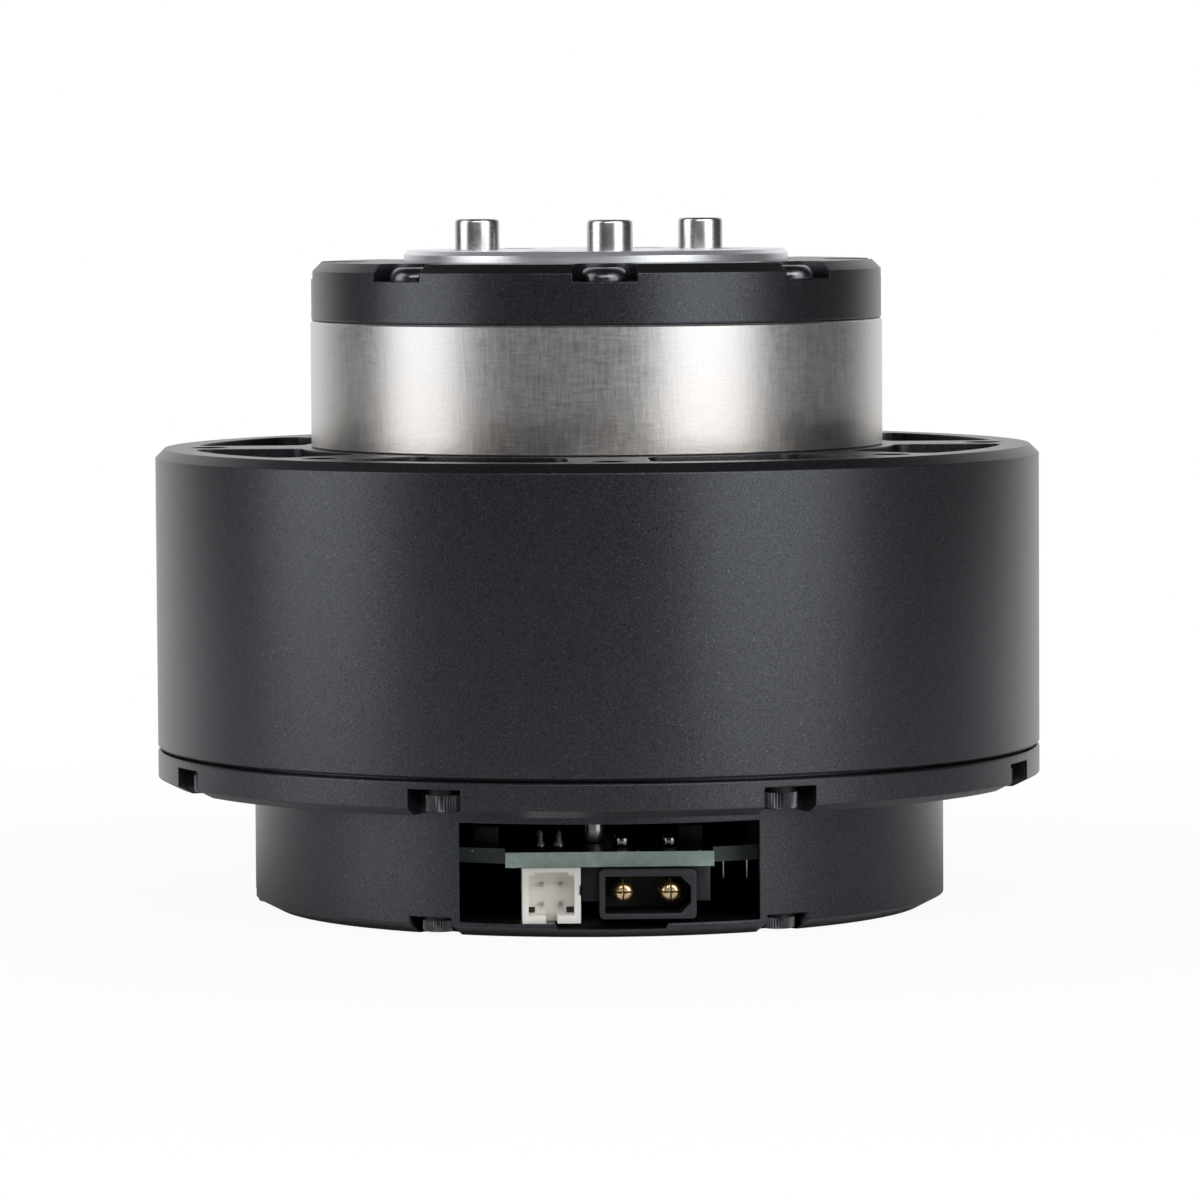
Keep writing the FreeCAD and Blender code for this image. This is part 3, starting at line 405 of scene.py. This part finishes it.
def glass_laminate():
    """The board: dark solder mask on its faces and the woven glass laminate on its cut edge, lighter at the
    front tab and darker behind it as painted shade.
    """
    material, nodes, links, shader = finish_named("board_finish")
    place = object_place(nodes)
    weave = noise(nodes, links, place, 1400, 4.0, 0.6)
    tone = ramp(nodes, links, weave, 0.0, 1.0, 0.3, 0.7)
    front = add(nodes, "ShaderNodeSeparateXYZ")
    links.new(place, front.inputs["Vector"])
    # painted shade: the cut edge behind the front tab gets a darker colour than the lit tab
    tab = ramp(nodes, links, front.outputs["Y"], 1.0, 0.0, -0.0350, -0.0345)
    bright = mix(nodes, links, tone, (0.335, 0.440, 0.395), (0.480, 0.590, 0.540))
    edge_painted_shade_mix = add(nodes, "ShaderNodeMix", data_type="RGBA")
    links.new(tab, edge_painted_shade_mix.inputs["Factor"])
    edge_painted_shade_mix.inputs["A"].default_value = (0.125, 0.155, 0.135, 1.0)
    links.new(bright, edge_painted_shade_mix.inputs["B"])
    edge = edge_painted_shade_mix.outputs["Result"]
    facing = add(nodes, "ShaderNodeNewGeometry").outputs["Normal"]
    split = add(nodes, "ShaderNodeSeparateXYZ")
    links.new(facing, split.inputs["Vector"])
    flat = math_node(nodes, links, "ABSOLUTE", split.outputs["Z"], 0.0)
    flat = ramp(nodes, links, flat, 0.0, 1.0, 0.45, 0.55)
    join = add(nodes, "ShaderNodeMix", data_type="RGBA")
    links.new(flat, join.inputs["Factor"])
    links.new(edge, join.inputs["A"])
    join.inputs["B"].default_value = (0.006, 0.030, 0.018, 1.0)
    links.new(join.outputs["Result"], shader.inputs["Base Color"])
    rough = ramp(nodes, links, flat, 0.62, 0.28, 0.0, 1.0)
    links.new(rough, shader.inputs["Roughness"])
    bump(nodes, links, shader, weave, 0.10, 0.00004)
    return material


def copper_turns():
    """Enamelled copper wire wound round each tooth."""
    material, nodes, links, shader = finish_named("copper_turns_finish")
    wire = 0.0006
    x, y, _ = object_axes(nodes, links)
    out = from_axis(nodes, links, x, y)
    wave = math_node(nodes, links, "SINE",
                     math_node(nodes, links, "MULTIPLY", out, 2 * math.pi / wire), 0.0)
    tone = ramp(nodes, links, wave, 0.0, 1.0, -1.0, 1.0)
    colour = mix(nodes, links, tone, (0.20, 0.060, 0.020), (0.62, 0.24, 0.09))
    links.new(colour, shader.inputs["Base Color"])
    shader.inputs["Metallic"].default_value = 1.0
    shader.inputs["Roughness"].default_value = 0.32
    bump(nodes, links, shader, wave, 0.5, 0.0001)
    return material


def stacked_laminations():
    """Stacked electrical steel: thin dark lines between the sheets."""
    material, nodes, links, shader = finish_named("stacked_laminations_finish")
    sheet = 0.00035
    height = object_axes(nodes, links)[2]
    wave = math_node(nodes, links, "SINE",
                     math_node(nodes, links, "MULTIPLY", height, 2 * math.pi / sheet), 0.0)
    tone = ramp(nodes, links, wave, 0.0, 1.0, -1.0, 0.2)
    colour = mix(nodes, links, tone, (0.06, 0.06, 0.06), (0.30, 0.30, 0.31))
    links.new(colour, shader.inputs["Base Color"])
    shader.inputs["Metallic"].default_value = 1.0
    shader.inputs["Roughness"].default_value = 0.42
    bump(nodes, links, shader, wave, 0.3, 0.00005)
    return material


FINISHES = {
    "black": black_anodised(),
    "steel": turned_steel(),
    "aluminium": turned_aluminium(),
    "polished": metal("ground_pin_finish", (0.66, 0.66, 0.67), (0.76, 0.76, 0.77), 0.24, 0.28, 900, 0.0),
    "dark_screw": metal(
        "black_oxide_finish", (0.120, 0.122, 0.134), (0.170, 0.172, 0.186), 0.24, 0.32, 900, 0.02),
    "bright_screw": metal("plain_steel_finish", (0.44, 0.44, 0.44), (0.54, 0.54, 0.53), 0.24, 0.36),
    "bearing": metal("bearing_steel_finish", (0.56, 0.56, 0.57), (0.66, 0.66, 0.67), 0.12, 0.20),
    "gear": metal("gear_steel_finish", (0.36, 0.36, 0.37), (0.46, 0.46, 0.46), 0.25, 0.38),
    "bell": metal("bell_steel_finish", (0.20, 0.20, 0.21), (0.29, 0.29, 0.30), 0.32, 0.46, 1600),
    "magnet": metal("nickel_plate_finish", (0.48, 0.48, 0.50), (0.60, 0.60, 0.62), 0.18, 0.28),
    "bronze": metal("sintered_bronze_finish", (0.40, 0.22, 0.09), (0.55, 0.32, 0.14), 0.38, 0.52),
    "gold": metal("gold_plate_finish", (0.95, 0.68, 0.35), (1.0, 0.82, 0.50), 0.24, 0.32, 3500, 0.04),
    "tin": metal("tin_plate_finish", (0.42, 0.42, 0.43), (0.62, 0.62, 0.62), 0.16, 0.30, 3500, 0.10),
    # solder coloured darker than the tin
    "solder": metal("dark_solder_finish", (0.16, 0.16, 0.17), (0.28, 0.28, 0.29), 0.10, 0.18, 3500, 0.10),
    "can": metal("drawn_can_finish", (0.60, 0.60, 0.61), (0.74, 0.74, 0.75), 0.26, 0.36, 1200, 0.02),
    # painted shade: a near-black nylon tone for surfaces that stand in shadow
    "painted_shade": moulded("shaded_nylon_finish", (0.0020, 0.0021, 0.0026), (0.0032, 0.0033, 0.0040), 0.50, 0.62),
    "copper": copper_turns(),
    "laminations": stacked_laminations(),
    "board": glass_laminate(),
    "nylon": moulded(
        "ivory_nylon_finish", (0.88, 0.85, 0.78), (0.94, 0.92, 0.87), 0.34, 0.46, seen_through=0.18),
    "shell": moulded("black_nylon_finish", (0.0190, 0.0200, 0.0260), (0.0320, 0.0335, 0.0420), 0.36, 0.52),
    "chip": moulded("moulding_compound_finish", (0.010, 0.010, 0.011), (0.018, 0.018, 0.019), 0.45, 0.60),
    "seal": moulded("seal_rubber_finish", (0.008, 0.008, 0.008), (0.014, 0.014, 0.014), 0.50, 0.65),
    "lead": moulded("lead_insulation_finish", (0.30, 0.012, 0.012), (0.38, 0.020, 0.018), 0.36, 0.50),
}

NODE_FINISH = {
    "motor_housing": "black", "rear_cover": "black", "driver_cover": "black", "front_cap": "black",
    "ring_gear": "steel", "output_flange": "aluminium", "output_dowels": "polished",
    "stator_core": "laminations", "stator_windings": "copper", "phase_leads": "lead",
    "bearing_circlip": "dark_screw", "output_seal": "seal", "rotor_bell": "bell",
    "rotor_magnets": "magnet", "encoder_magnet": "magnet", "rotor_shaft": "gear", "sun_gear": "gear",
    "planet_carrier": "gear", "planet_pins": "bearing", "carrier_screws": "dark_screw",
    "carrier_bush": "bronze", "driver_board": "board", "board_standoffs": "bright_screw",
    "board_screws": "bright_screw", "rotor_screws": "bright_screw", "power_transistors": "chip",
    "controller_chip": "chip", "encoder_chip": "chip", "capacitors": "tin", "service_pins": "tin",
    "signal_connector": "nylon", "signal_pins": "tin", "power_connector": "shell",
    "power_contacts": "gold", "rear_cover_screws": "dark_screw", "driver_cover_screws": "dark_screw",
    "front_cap_screws": "dark_screw",
}


def finish_for(node):
    """The finish of a solid by its node name."""
    if node in NODE_FINISH:
        return FINISHES[NODE_FINISH[node]]
    if node.startswith("planet_gear"):
        return FINISHES["gear"]
    if node.startswith("planet_bush"):
        return FINISHES["bronze"]
    return FINISHES["bearing"]


def coat(piece, finish):
    """Gives a piece one finish."""
    piece.data.materials.clear()
    piece.data.materials.append(FINISHES[finish])


for node_name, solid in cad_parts.items():
    solid.data.materials.clear()
    solid.data.materials.append(finish_for(node_name))


# ---------------------------------------------------------------- screws

def knurled_head(name, centre_r, low, knurl, neck, r, shank):
    """A socket head screw, head down: hexagon socket, knurled rim, plain neck and shank in the painted
    shade tone.
    """
    ridges = 38
    groove = 0.93
    stem_r = r - 0.14
    shank_r = 0.98
    centre = (centre_r * MM, 0, low * MM)
    head = rod(name, r, knurl, (centre_r, 0, low + knurl / 2), 2 * ridges)
    edit(head)
    choose(lambda f: f.normal.z < -0.9)
    bpy.ops.mesh.region_to_loop()
    bpy.ops.mesh.bevel(offset=0.2 * MM, segments=2, affect="EDGES")
    bpy.ops.mesh.select_mode(type="VERT")
    bpy.ops.mesh.select_all(action="DESELECT")

    def in_groove(v):
        turn = math.degrees(math.atan2(v.co.y, v.co.x - centre[0])) % 360.0
        return v.co.z > (low + 0.1) * MM and round(turn * ridges / 180.0) % 2 == 0

    choose(in_groove, "verts")
    bpy.ops.transform.resize(value=(groove, groove, 1.0), center_override=centre)
    close()
    stem = rod("stem", stem_r, neck, (centre_r, 0, low + knurl + neck / 2), 48)
    edit(stem)
    choose(lambda f: f.normal.z > 0.9)
    bpy.ops.mesh.inset(thickness=(stem_r - shank_r) * MM)
    bpy.ops.mesh.extrude_region_move(TRANSFORM_OT_translate={"value": (0, 0, shank * MM)})
    close()
    carve(head, rod("socket", 0.47 * r, 1.4, (centre_r, 0, low + 0.3), 6))
    coat(head, "dark_screw")
    # painted shade: the neck and shank take the dark shade tone instead of the screw's black oxide
    coat(stem, "painted_shade")
    head = gathered(name, [head, stem])
    pick(head)
    bpy.ops.object.shade_smooth_by_angle(angle=math.radians(20))
    return head


def plate_screw_heads():
    """The eight screws of the rear plate, in its rim pockets."""
    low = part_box("rear_cover_screws")[0].z / MM
    head = knurled_head("plate_screw", PLATE_SCREW_R, low, 1.75, 0.74, 1.97, 6.5)
    made = gathered("plate_screw_heads", copies(head, PLATE_SCREWS))
    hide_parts("rear_cover_screws")
    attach(made, "housing")


def cover_screw_heads():
    """The six screws of the driver cover, in its foot notches."""
    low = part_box("driver_cover_screws")[0].z / MM
    head = knurled_head("cover_screw", COVER_SCREW_R, low, 1.2, 0.44, 1.8, 8.0)
    made = gathered("cover_screw_heads", copies(head, COVER_SCREWS))
    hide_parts("driver_cover_screws")
    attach(made, "housing")


def cap_screw_heads():
    """The eight button-head screws of the front cap."""
    seat = 69.5
    height = 1.5
    head = rod("cap_screw", 2.7, height, (CAP_SCREW_R, 0, seat + height / 2), 48)
    edit(head)
    choose(lambda f: f.normal.z > 0.9)
    bpy.ops.mesh.region_to_loop()
    bpy.ops.mesh.bevel(offset=1.05 * MM, segments=7, profile=0.42, affect="EDGES", offset_type="OFFSET")
    close()
    carve(head, rod("socket", 1.15, 2.0, (CAP_SCREW_R, 0, seat + height + 0.1), 6))
    soften(head, 0.05, 2, 40)
    made = gathered("cap_screw_heads", copies(head, CAP_SCREWS))
    coat(made, "dark_screw")
    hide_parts("front_cap_screws")
    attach(made, "housing")


# ---------------------------------------------------------------- connectors

def signal_shell():
    """The ivory header: thin walls, a key notch, two corner steps and a nick in its side."""
    low, high = (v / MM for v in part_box("signal_connector"))
    wall, floor, roof, deep = 0.66, 0.85, 0.45, 2.9
    shell = block("signal_shell", low, high)
    y = low.y
    room = block(
        "room", (low.x + wall, y - 1, low.z + floor), (high.x - wall, y + deep, high.z - roof))
    carve(shell, room)
    step_wide, step_high = 0.70, 0.36
    for x in (low.x + wall - 0.05, high.x - wall - 0.65):
        step = block("step", (x, y + 0.03, high.z - roof - step_high),
                     (x + step_wide, y + deep + 0.1, high.z - 0.2))
        carve(shell, step, "UNION")
    key = 0.6
    carve(shell, block("key", (SIGNAL_X - key, y - 1, low.z - 1), (SIGNAL_X + key, y + deep, low.z + 1)))
    carve(shell, block("side_nick", (high.x - 0.20, y - 1, 4.55), (high.x + 1, y + 3.0, 5.65)))
    soften(shell, 0.09, 2)
    coat(shell, "nylon")
    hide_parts("signal_connector")
    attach(shell, "housing")


def signal_slot_painted_shade():
    """Dark blocks as painted shade in the header's two slots, low on its back wall."""
    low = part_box("signal_connector")[0] / MM
    parts = []
    for left, right in ((-2.54, -1.72), (1.62, 2.54)):
        slot = block("slot", (SIGNAL_X + left, low.y + 2.78, low.z + 0.9),
                     (SIGNAL_X + right, low.y + 3.4, low.z + 1.5))
        parts.append(soften(slot, 0.05, 1))
    made = gathered("signal_slot_painted_shade", parts)
    # painted shade: dark moulding compound standing for the shadow inside the slots
    coat(made, "chip")
    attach(made, "housing")


def signal_pin_tips():
    """The four square pins of the header: bent up to the board, their tips pointed."""
    low, high = (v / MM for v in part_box("signal_pins"))
    half = 0.22
    middle, row_pitch = 4.47, 1.03
    tips = []
    for column in (-SIGNAL_HALF_PITCH, SIGNAL_HALF_PITCH):
        for row in (-1.0, 1.0):
            x = SIGNAL_X + column
            z = middle + row_pitch * row
            tail = high.y - 1.25 - row
            pin = block(
                "pin", (x - half, tail - half, z - half), (x + half, tail + half, z + half))
            edit(pin)
            choose(lambda f: f.normal.z > 0.9)
            rise = (BOARD_BOTTOM - z - half) * MM
            bpy.ops.mesh.extrude_region_move(TRANSFORM_OT_translate={"value": (0, 0, rise)})
            close()
            edit(pin)
            choose(lambda f: f.normal.y < -0.9 and f.calc_center_median().z < (z + half) * MM)
            run = (low.y + 0.3 - tail + half) * MM
            bpy.ops.mesh.extrude_region_move(TRANSFORM_OT_translate={"value": (0, run, 0)})
            bpy.ops.mesh.extrude_region_move(TRANSFORM_OT_translate={"value": (0, -0.4 * MM, 0)})
            bpy.ops.transform.resize(value=(0.45, 1.0, 0.45))
            close()
            tips.append(soften(pin, 0.04, 2))
    made = gathered("signal_pin_tips", tips)
    coat(made, "tin")
    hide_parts("signal_pins")
    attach(made, "housing")


def long_edges(piece, right_only=False):
    """Opens the piece with the edges that run front to back selected."""
    edit(piece, "EDGE")
    right = max(v.co.x for v in piece.data.vertices) - 0.0002
    choose(lambda e: abs(e.verts[0].co.y - e.verts[1].co.y) > 0.001
           and (e.verts[0].co.x > right or not right_only), "edges")


def shade_room(shell, low, high):
    """Gives the faces inside a shell's room the shaded tone."""
    shell.data.materials.clear()
    shell.data.materials.append(FINISHES["shell"])
    shell.data.materials.append(FINISHES["painted_shade"])
    slack = 0.1
    for face in shell.data.polygons:
        spot = face.center / MM
        if all(low[k] - slack < spot[k] < high[k] + slack for k in range(3)):
            face.material_index = 1


def power_shell():
    """The black two-pin shell, its room cut at two corners, and the block behind it."""
    low = Vector((POWER_X - POWER_HALF_WIDTH, -37.2, 2.0))
    high = Vector((POWER_X + POWER_HALF_WIDTH, -26.0, 7.3))
    wall, roof, deep = 0.60, 0.74, 7.0
    shell = block("power_shell", low, high)
    long_edges(shell)
    bpy.ops.mesh.bevel(offset=0.5 * MM, segments=4, affect="EDGES")
    close()
    room = block("room", (low.x + wall, low.y - 1, low.z + wall),
                 (high.x - wall, low.y + deep, high.z - roof))
    long_edges(room, True)
    bpy.ops.mesh.bevel(offset=1.1 * MM, segments=1, affect="EDGES")
    close()
    carve(shell, room)
    soften(shell, 0.10, 3)
    shade_room(shell, low + Vector((wall, 0.3, wall)), high - Vector((wall, 0, roof)))
    back = block("power_back", (-3.0, -33.4, 3.5), (10.8, -26.0, 7.5))
    carve(back, block("hollow", (low.x + 0.3, -34.0, 2.0), (high.x - 0.3, -29.9, 7.2)))
    soften(back, 0.12, 2)
    coat(back, "shell")
    made = gathered("power_shell", [shell, back])
    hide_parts("power_connector")
    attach(made, "housing")


def power_pins():
    """The two gold pins: a rounded nose split crosswise."""
    height = 4.78
    gap = 0.10
    pins = []
    for side in (-1, 1):
        x = POWER_X + side * POWER_HALF_PITCH - 0.08
        pin = rod("power_pin", 1.16, 9.0, (x, -31.7, height), 48, "Y")
        edit(pin)
        choose(lambda f: f.normal.y < -0.9)
        bpy.ops.mesh.region_to_loop()
        bpy.ops.mesh.bevel(offset=0.80 * MM, segments=8, profile=0.5, affect="EDGES")
        close()
        upright = block("slit", (x - gap, -37.0, 3.0), (x + gap, -33.0, 6.4))
        carve(pin, upright)
        level = block("slit", (x - 1.5, -37.0, height - gap), (x + 1.5, -33.0, height + gap))
        carve(pin, level)
        pins.append(soften(pin, 0.05, 2, 40))
    made = gathered("power_pins", pins)
    coat(made, "gold")
    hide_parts("power_contacts")
    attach(made, "housing")


# ---------------------------------------------------------------- board

def solder_joint(x, y, r, cone, tail):
    """A solder cone with the pin's tail standing out of it."""
    let_go()
    bpy.ops.mesh.primitive_cone_add(
        vertices=20, radius1=r * MM, radius2=0.32 * MM, depth=cone * MM,
        location=(x * MM, y * MM, (BOARD_TOP + cone / 2) * MM))
    joint = named("joint")
    settle(joint)
    edit(joint)
    choose(lambda f: f.normal.z > 0.9)
    bpy.ops.mesh.extrude_region_move(TRANSFORM_OT_translate={"value": (0, 0, tail * MM)})
    close()
    return soften(joint, 0.06, 2)


def solder_joints():
    """The joints of both connectors on top of the board."""
    thin = []
    for column in (-SIGNAL_HALF_PITCH, SIGNAL_HALF_PITCH):
        for row in (-26.9, -28.9):
            thin.append(solder_joint(SIGNAL_X + column, row, 0.62, 0.6, 0.9))
    header = gathered("header_joints", thin)
    coat(header, "tin")
    stub = 1.25
    wide = []
    for side in (-1, 1):
        for row in (-31.6, -28.5):
            x = POWER_X + side * POWER_HALF_PITCH
            wide.append(solder_joint(x, row, 1.45, 0.45, 0.1))
            barrel = rod("barrel", 0.75, stub, (x, row, BOARD_TOP + stub / 2), 32)
            wide.append(soften(barrel, 0.25, 4))
    power = gathered("power_joints", wide)
    coat(power, "solder")
    for made in (header, power):
        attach(made, "housing")


def edge_beads():
    """Small solder beads on the board's front edge and under its tab."""
    spots = [
        (-14.6, -33.2, BOARD_TOP), (-10.4, -35.6, BOARD_BOTTOM), (-10.1, -35.5, BOARD_BOTTOM),
        (-1.6, -35.6, BOARD_TOP), (1.2, -35.7, BOARD_TOP), (2.9, -35.6, BOARD_TOP),
        (9.6, -35.6, BOARD_TOP)]
    beads = []
    for x, y, z in spots:
        let_go()
        bpy.ops.mesh.primitive_uv_sphere_add(
            segments=14, ring_count=8, radius=0.20 * MM, location=(x * MM, y * MM, z * MM))
        bead = named("bead")
        bead.scale = (1.0, 1.0, 0.65)
        settle(bead)
        beads.append(bead)
    made = gathered("edge_beads", beads)
    pick(made)
    bpy.ops.object.shade_smooth()
    coat(made, "tin")
    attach(made, "housing")


def capacitor_can():
    """The small metal can behind the connectors, with a crimped foot."""
    tall = 2.4
    can = rod("capacitor_can", 1.1, tall, (-1.35, -25.7, BOARD_TOP + tall / 2), 40)
    edit(can)
    choose(lambda f: f.normal.z > 0.9)
    bpy.ops.mesh.inset(thickness=0.25 * MM)
    bpy.ops.transform.translate(value=(0, 0, -0.08 * MM))
    bpy.ops.mesh.select_all(action="DESELECT")
    choose(lambda f: f.normal.z < -0.9)
    bpy.ops.mesh.inset(thickness=0.12 * MM)
    close()
    soften(can, 0.12, 3)
    coat(can, "can")
    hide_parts("capacitors")
    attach(can, "housing")


def chip_capacitors():
    """Two black moulded capacitors beside the can, coloured darker than their moulding as painted shade."""
    half_long = 1.3
    bodies = []
    for x in (-13.0, 9.0):
        body = block("body", (x - half_long, -26.6, BOARD_TOP), (x + half_long, -24.4, BOARD_TOP + 1.9))
        bodies.append(soften(body, 0.12, 2))
    made = gathered("chip_capacitors", bodies)
    # black capacitors, made darker still with the painted shade tone
    coat(made, "painted_shade")
    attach(made, "housing")


def setup_pins():
    """The three thin round pins under the board beside the power connector."""
    first, pitch, length = 12.4, 2.54, 2.0
    pins = []
    for i in range(3):
        pin = rod("pin", 0.17, length, (first + pitch * i, -28.7, BOARD_BOTTOM - length / 2), 20)
        edit(pin)
        choose(lambda f: f.normal.z < -0.9)
        bpy.ops.mesh.extrude_region_move(TRANSFORM_OT_translate={"value": (0, 0, -0.12 * MM)})
        bpy.ops.transform.resize(value=(0.5, 0.5, 1.0))
        close()
        pick(pin)
        bpy.ops.object.shade_smooth_by_angle(angle=math.radians(40))
        pins.append(pin)
    made = gathered("setup_pins", pins)
    coat(made, "polished")
    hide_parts("service_pins")
    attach(made, "housing")


# ---------------------------------------------------------------- output

def dowels():
    """The three ground dowels, rounded at the top and shouldered down into the flange."""
    dowel = rod("dowel", DOWEL_R, DOWEL_TOP - FLANGE_FACE,
                (DOWEL_CIRCLE, 0, (DOWEL_TOP + FLANGE_FACE) / 2), 72)
    edit(dowel)
    choose(lambda f: f.normal.z > 0.9)
    bpy.ops.mesh.region_to_loop()
    bpy.ops.mesh.bevel(offset=0.38 * MM, segments=4, profile=0.5, affect="EDGES")
    bpy.ops.mesh.select_mode(type="FACE")
    bpy.ops.mesh.select_all(action="DESELECT")
    choose(lambda f: f.normal.z < -0.9)
    bpy.ops.mesh.inset(thickness=0.2 * MM)
    drop = (DOWEL_FOOT - FLANGE_FACE) * MM
    bpy.ops.mesh.extrude_region_move(TRANSFORM_OT_translate={"value": (0, 0, drop)})
    close()
    pick(dowel)
    bpy.ops.object.shade_smooth_by_angle(angle=math.radians(35))
    made = gathered("dowels", copies(dowel, [OUTPUT_ANGLE + 120.0 * i for i in range(3)]))
    coat(made, "polished")
    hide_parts("output_dowels")
    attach(made, "output")


# ---------------------------------------------------------------- driver cover

def true_walls(piece):
    """Makes the shading of a turned piece follow its round walls."""
    mesh = piece.data
    least_upright = 0.2
    least_radial = 0.95
    facing = [tuple(corner.vector) for corner in mesh.corner_normals]
    for face in mesh.polygons:
        spots = [mesh.vertices[i].co for i in face.vertices]
        radii = [math.hypot(spot.x, spot.y) for spot in spots]
        flat = math.hypot(face.normal.x, face.normal.y)
        level = max(s.z for s in spots) - min(s.z for s in spots) < 1e-6
        slack = 0.00005 + 0.002 * abs(face.normal.z)
        if level or flat < least_upright or max(radii) - min(radii) > slack:
            continue
        outward = face.normal.x * face.center.x + face.normal.y * face.center.y
        if abs(outward) < least_radial * flat * math.hypot(face.center.x, face.center.y):
            continue
        side = math.copysign(flat, outward)
        for k in face.loop_indices:
            spot = mesh.vertices[mesh.loops[k].vertex_index].co
            reach = math.hypot(spot.x, spot.y)
            facing[k] = (side * spot.x / reach, side * spot.y / reach, face.normal.z)
    mesh.normals_split_custom_set(facing)


def lowered_sill():
    """The driver cover with the middle of its window sill set down."""
    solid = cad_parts["driver_cover"]
    pick(solid)
    bpy.ops.object.duplicate(linked=False)
    cover = named("driver_cover_dressed")
    edit(cover, "VERT")
    bpy.ops.mesh.select_all(action="SELECT")
    bpy.ops.mesh.remove_doubles(threshold=0.000002)
    close()
    recess_floor = 1.02
    recess = block("recess", (-6.1, -40.0, recess_floor), (6.3, -33.6, 2.2))
    edit(recess)
    choose(lambda f: f.normal.z < -0.9)
    bpy.ops.transform.resize(value=(0.93, 1.0, 1.0))
    close()
    carve(cover, recess)
    pick(cover)
    bpy.ops.object.shade_smooth_by_angle(angle=math.radians(30))
    true_walls(cover)
    coat(cover, "black")
    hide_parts("driver_cover")
    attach(cover, "housing")


# ---------------------------------------------------------------- studio

def studio_floor():
    """A pale paper sweep that keeps the object's shadow and grows into the white behind."""
    let_go()
    bpy.ops.mesh.primitive_plane_add(size=1.0, location=(0, 0, 0))
    floor = named("studio_floor")
    floor.scale = (0.9, 2.3, 1.0)
    floor.location = (0, 0.85, 0)
    settle(floor)
    material, nodes, links, shader = finish_named("studio_floor_finish")
    shader.inputs["Base Color"].default_value = (0.80, 0.80, 0.80, 1.0)
    shader.inputs["Roughness"].default_value = 0.9
    glow = add(nodes, "ShaderNodeEmission")
    glow.inputs["Strength"].default_value = 1.0
    reach = add(nodes, "ShaderNodeVectorMath", operation="LENGTH")
    links.new(object_place(nodes), reach.inputs[0])
    white = ramp(nodes, links, reach.outputs["Value"], 0.94, 1.0, 0.05, 0.20)
    behind = ramp(nodes, links, object_axes(nodes, links)[1], 0.0, 1.0, 0.02, 0.12)
    ray = add(nodes, "ShaderNodeLightPath").outputs
    mirrored = math_node(nodes, links, "ADD", ray["Is Glossy Ray"], ray["Is Transmission Ray"])
    seen = math_node(nodes, links, "MULTIPLY", ray["Is Camera Ray"], white)
    share = math_node(nodes, links, "ADD", seen,
                      math_node(nodes, links, "MULTIPLY", mirrored, behind))
    join = add(nodes, "ShaderNodeMixShader")
    links.new(share, join.inputs["Fac"])
    links.new(shader.outputs["BSDF"], join.inputs[1])
    links.new(glow.outputs["Emission"], join.inputs[2])
    links.new(join.outputs["Shader"], nodes["Material Output"].inputs["Surface"])
    floor.data.materials.append(material)


def studio_world():
    """White behind the object, also in its reflections, and a dim room on the other side."""
    world = bpy.data.worlds.new("studio")
    bpy.context.scene.world = world
    world.use_nodes = True
    nodes, links = world.node_tree.nodes, world.node_tree.links
    back = nodes["Background"]
    back.inputs["Color"].default_value = (1.0, 1.0, 1.0, 1.0)
    split = add(nodes, "ShaderNodeSeparateXYZ")
    links.new(add(nodes, "ShaderNodeTexCoord").outputs["Generated"], split.inputs["Vector"])
    behind = ramp(nodes, links, split.outputs["Y"], 0.040, 1.0, 0.50, 0.88)
    ray = add(nodes, "ShaderNodeLightPath").outputs
    seen = math_node(nodes, links, "ADD", ray["Is Camera Ray"], ray["Is Transmission Ray"])
    strength = math_node(nodes, links, "MAXIMUM", seen, behind)
    links.new(strength, back.inputs["Strength"])


def softbox(name, azimuth, elevation, distance, width, height, power):
    """A rectangular light that faces the object; azimuth runs from the front to the right."""
    a = math.radians(azimuth)
    e = math.radians(elevation)
    middle = Vector((0, 0, 0.035))
    spot = Vector((math.sin(a) * math.cos(e), -math.cos(a) * math.cos(e), math.sin(e))) * distance
    spot += middle
    data = bpy.data.lights.new(name, "AREA")
    data.shape = "RECTANGLE"
    data.size = width
    data.size_y = height
    data.energy = power
    lamp = bpy.data.objects.new(name, data)
    bpy.context.scene.collection.objects.link(lamp)
    lamp.location = spot
    lamp.rotation_euler = (middle - spot).to_track_quat("-Z", "Y").to_euler()


def studio_lights():
    """A tall soft light at each side and a low, wide one above the front."""
    softbox("left_softbox", -75, 14, 1.1, 0.72, 1.7, 7.6)
    softbox("right_softbox", 43, 14, 1.1, 0.80, 1.7, 8.6)
    softbox("front_fill", 8, 34, 1.0, 1.10, 0.30, 4.0)


def studio_camera():
    """The camera: a long lens a little above the dowels, tipped down."""
    azimuth = math.radians(-1.75)
    distance, height = 0.7546, 0.08196
    lens, aside, down, rolled = 203.83, 0.017, 3.666, -0.352
    data = bpy.data.cameras.new("camera")
    data.sensor_width = 36.0
    data.lens = lens
    data.clip_start = 0.05
    data.clip_end = 30.0
    camera = bpy.data.objects.new("camera", data)
    bpy.context.scene.collection.objects.link(camera)
    camera.location = (math.sin(azimuth) * distance, -math.cos(azimuth) * distance, height)
    turn = Matrix.Rotation(azimuth - math.radians(aside), 4, "Z")
    tilt = Matrix.Rotation(math.radians(90.0 - down), 4, "X")
    roll = Matrix.Rotation(math.radians(rolled), 4, "Z")
    camera.rotation_euler = (turn @ tilt @ roll).to_euler()
    bpy.context.scene.camera = camera


plate_screw_heads()
cover_screw_heads()
cap_screw_heads()
signal_shell()
signal_slot_painted_shade()
signal_pin_tips()
power_shell()
power_pins()
solder_joints()
edge_beads()
capacitor_can()
chip_capacitors()
setup_pins()
dowels()
lowered_sill()

studio_floor()
studio_world()
studio_lights()
studio_camera()

bpy.context.scene.view_settings.view_transform = "Standard"
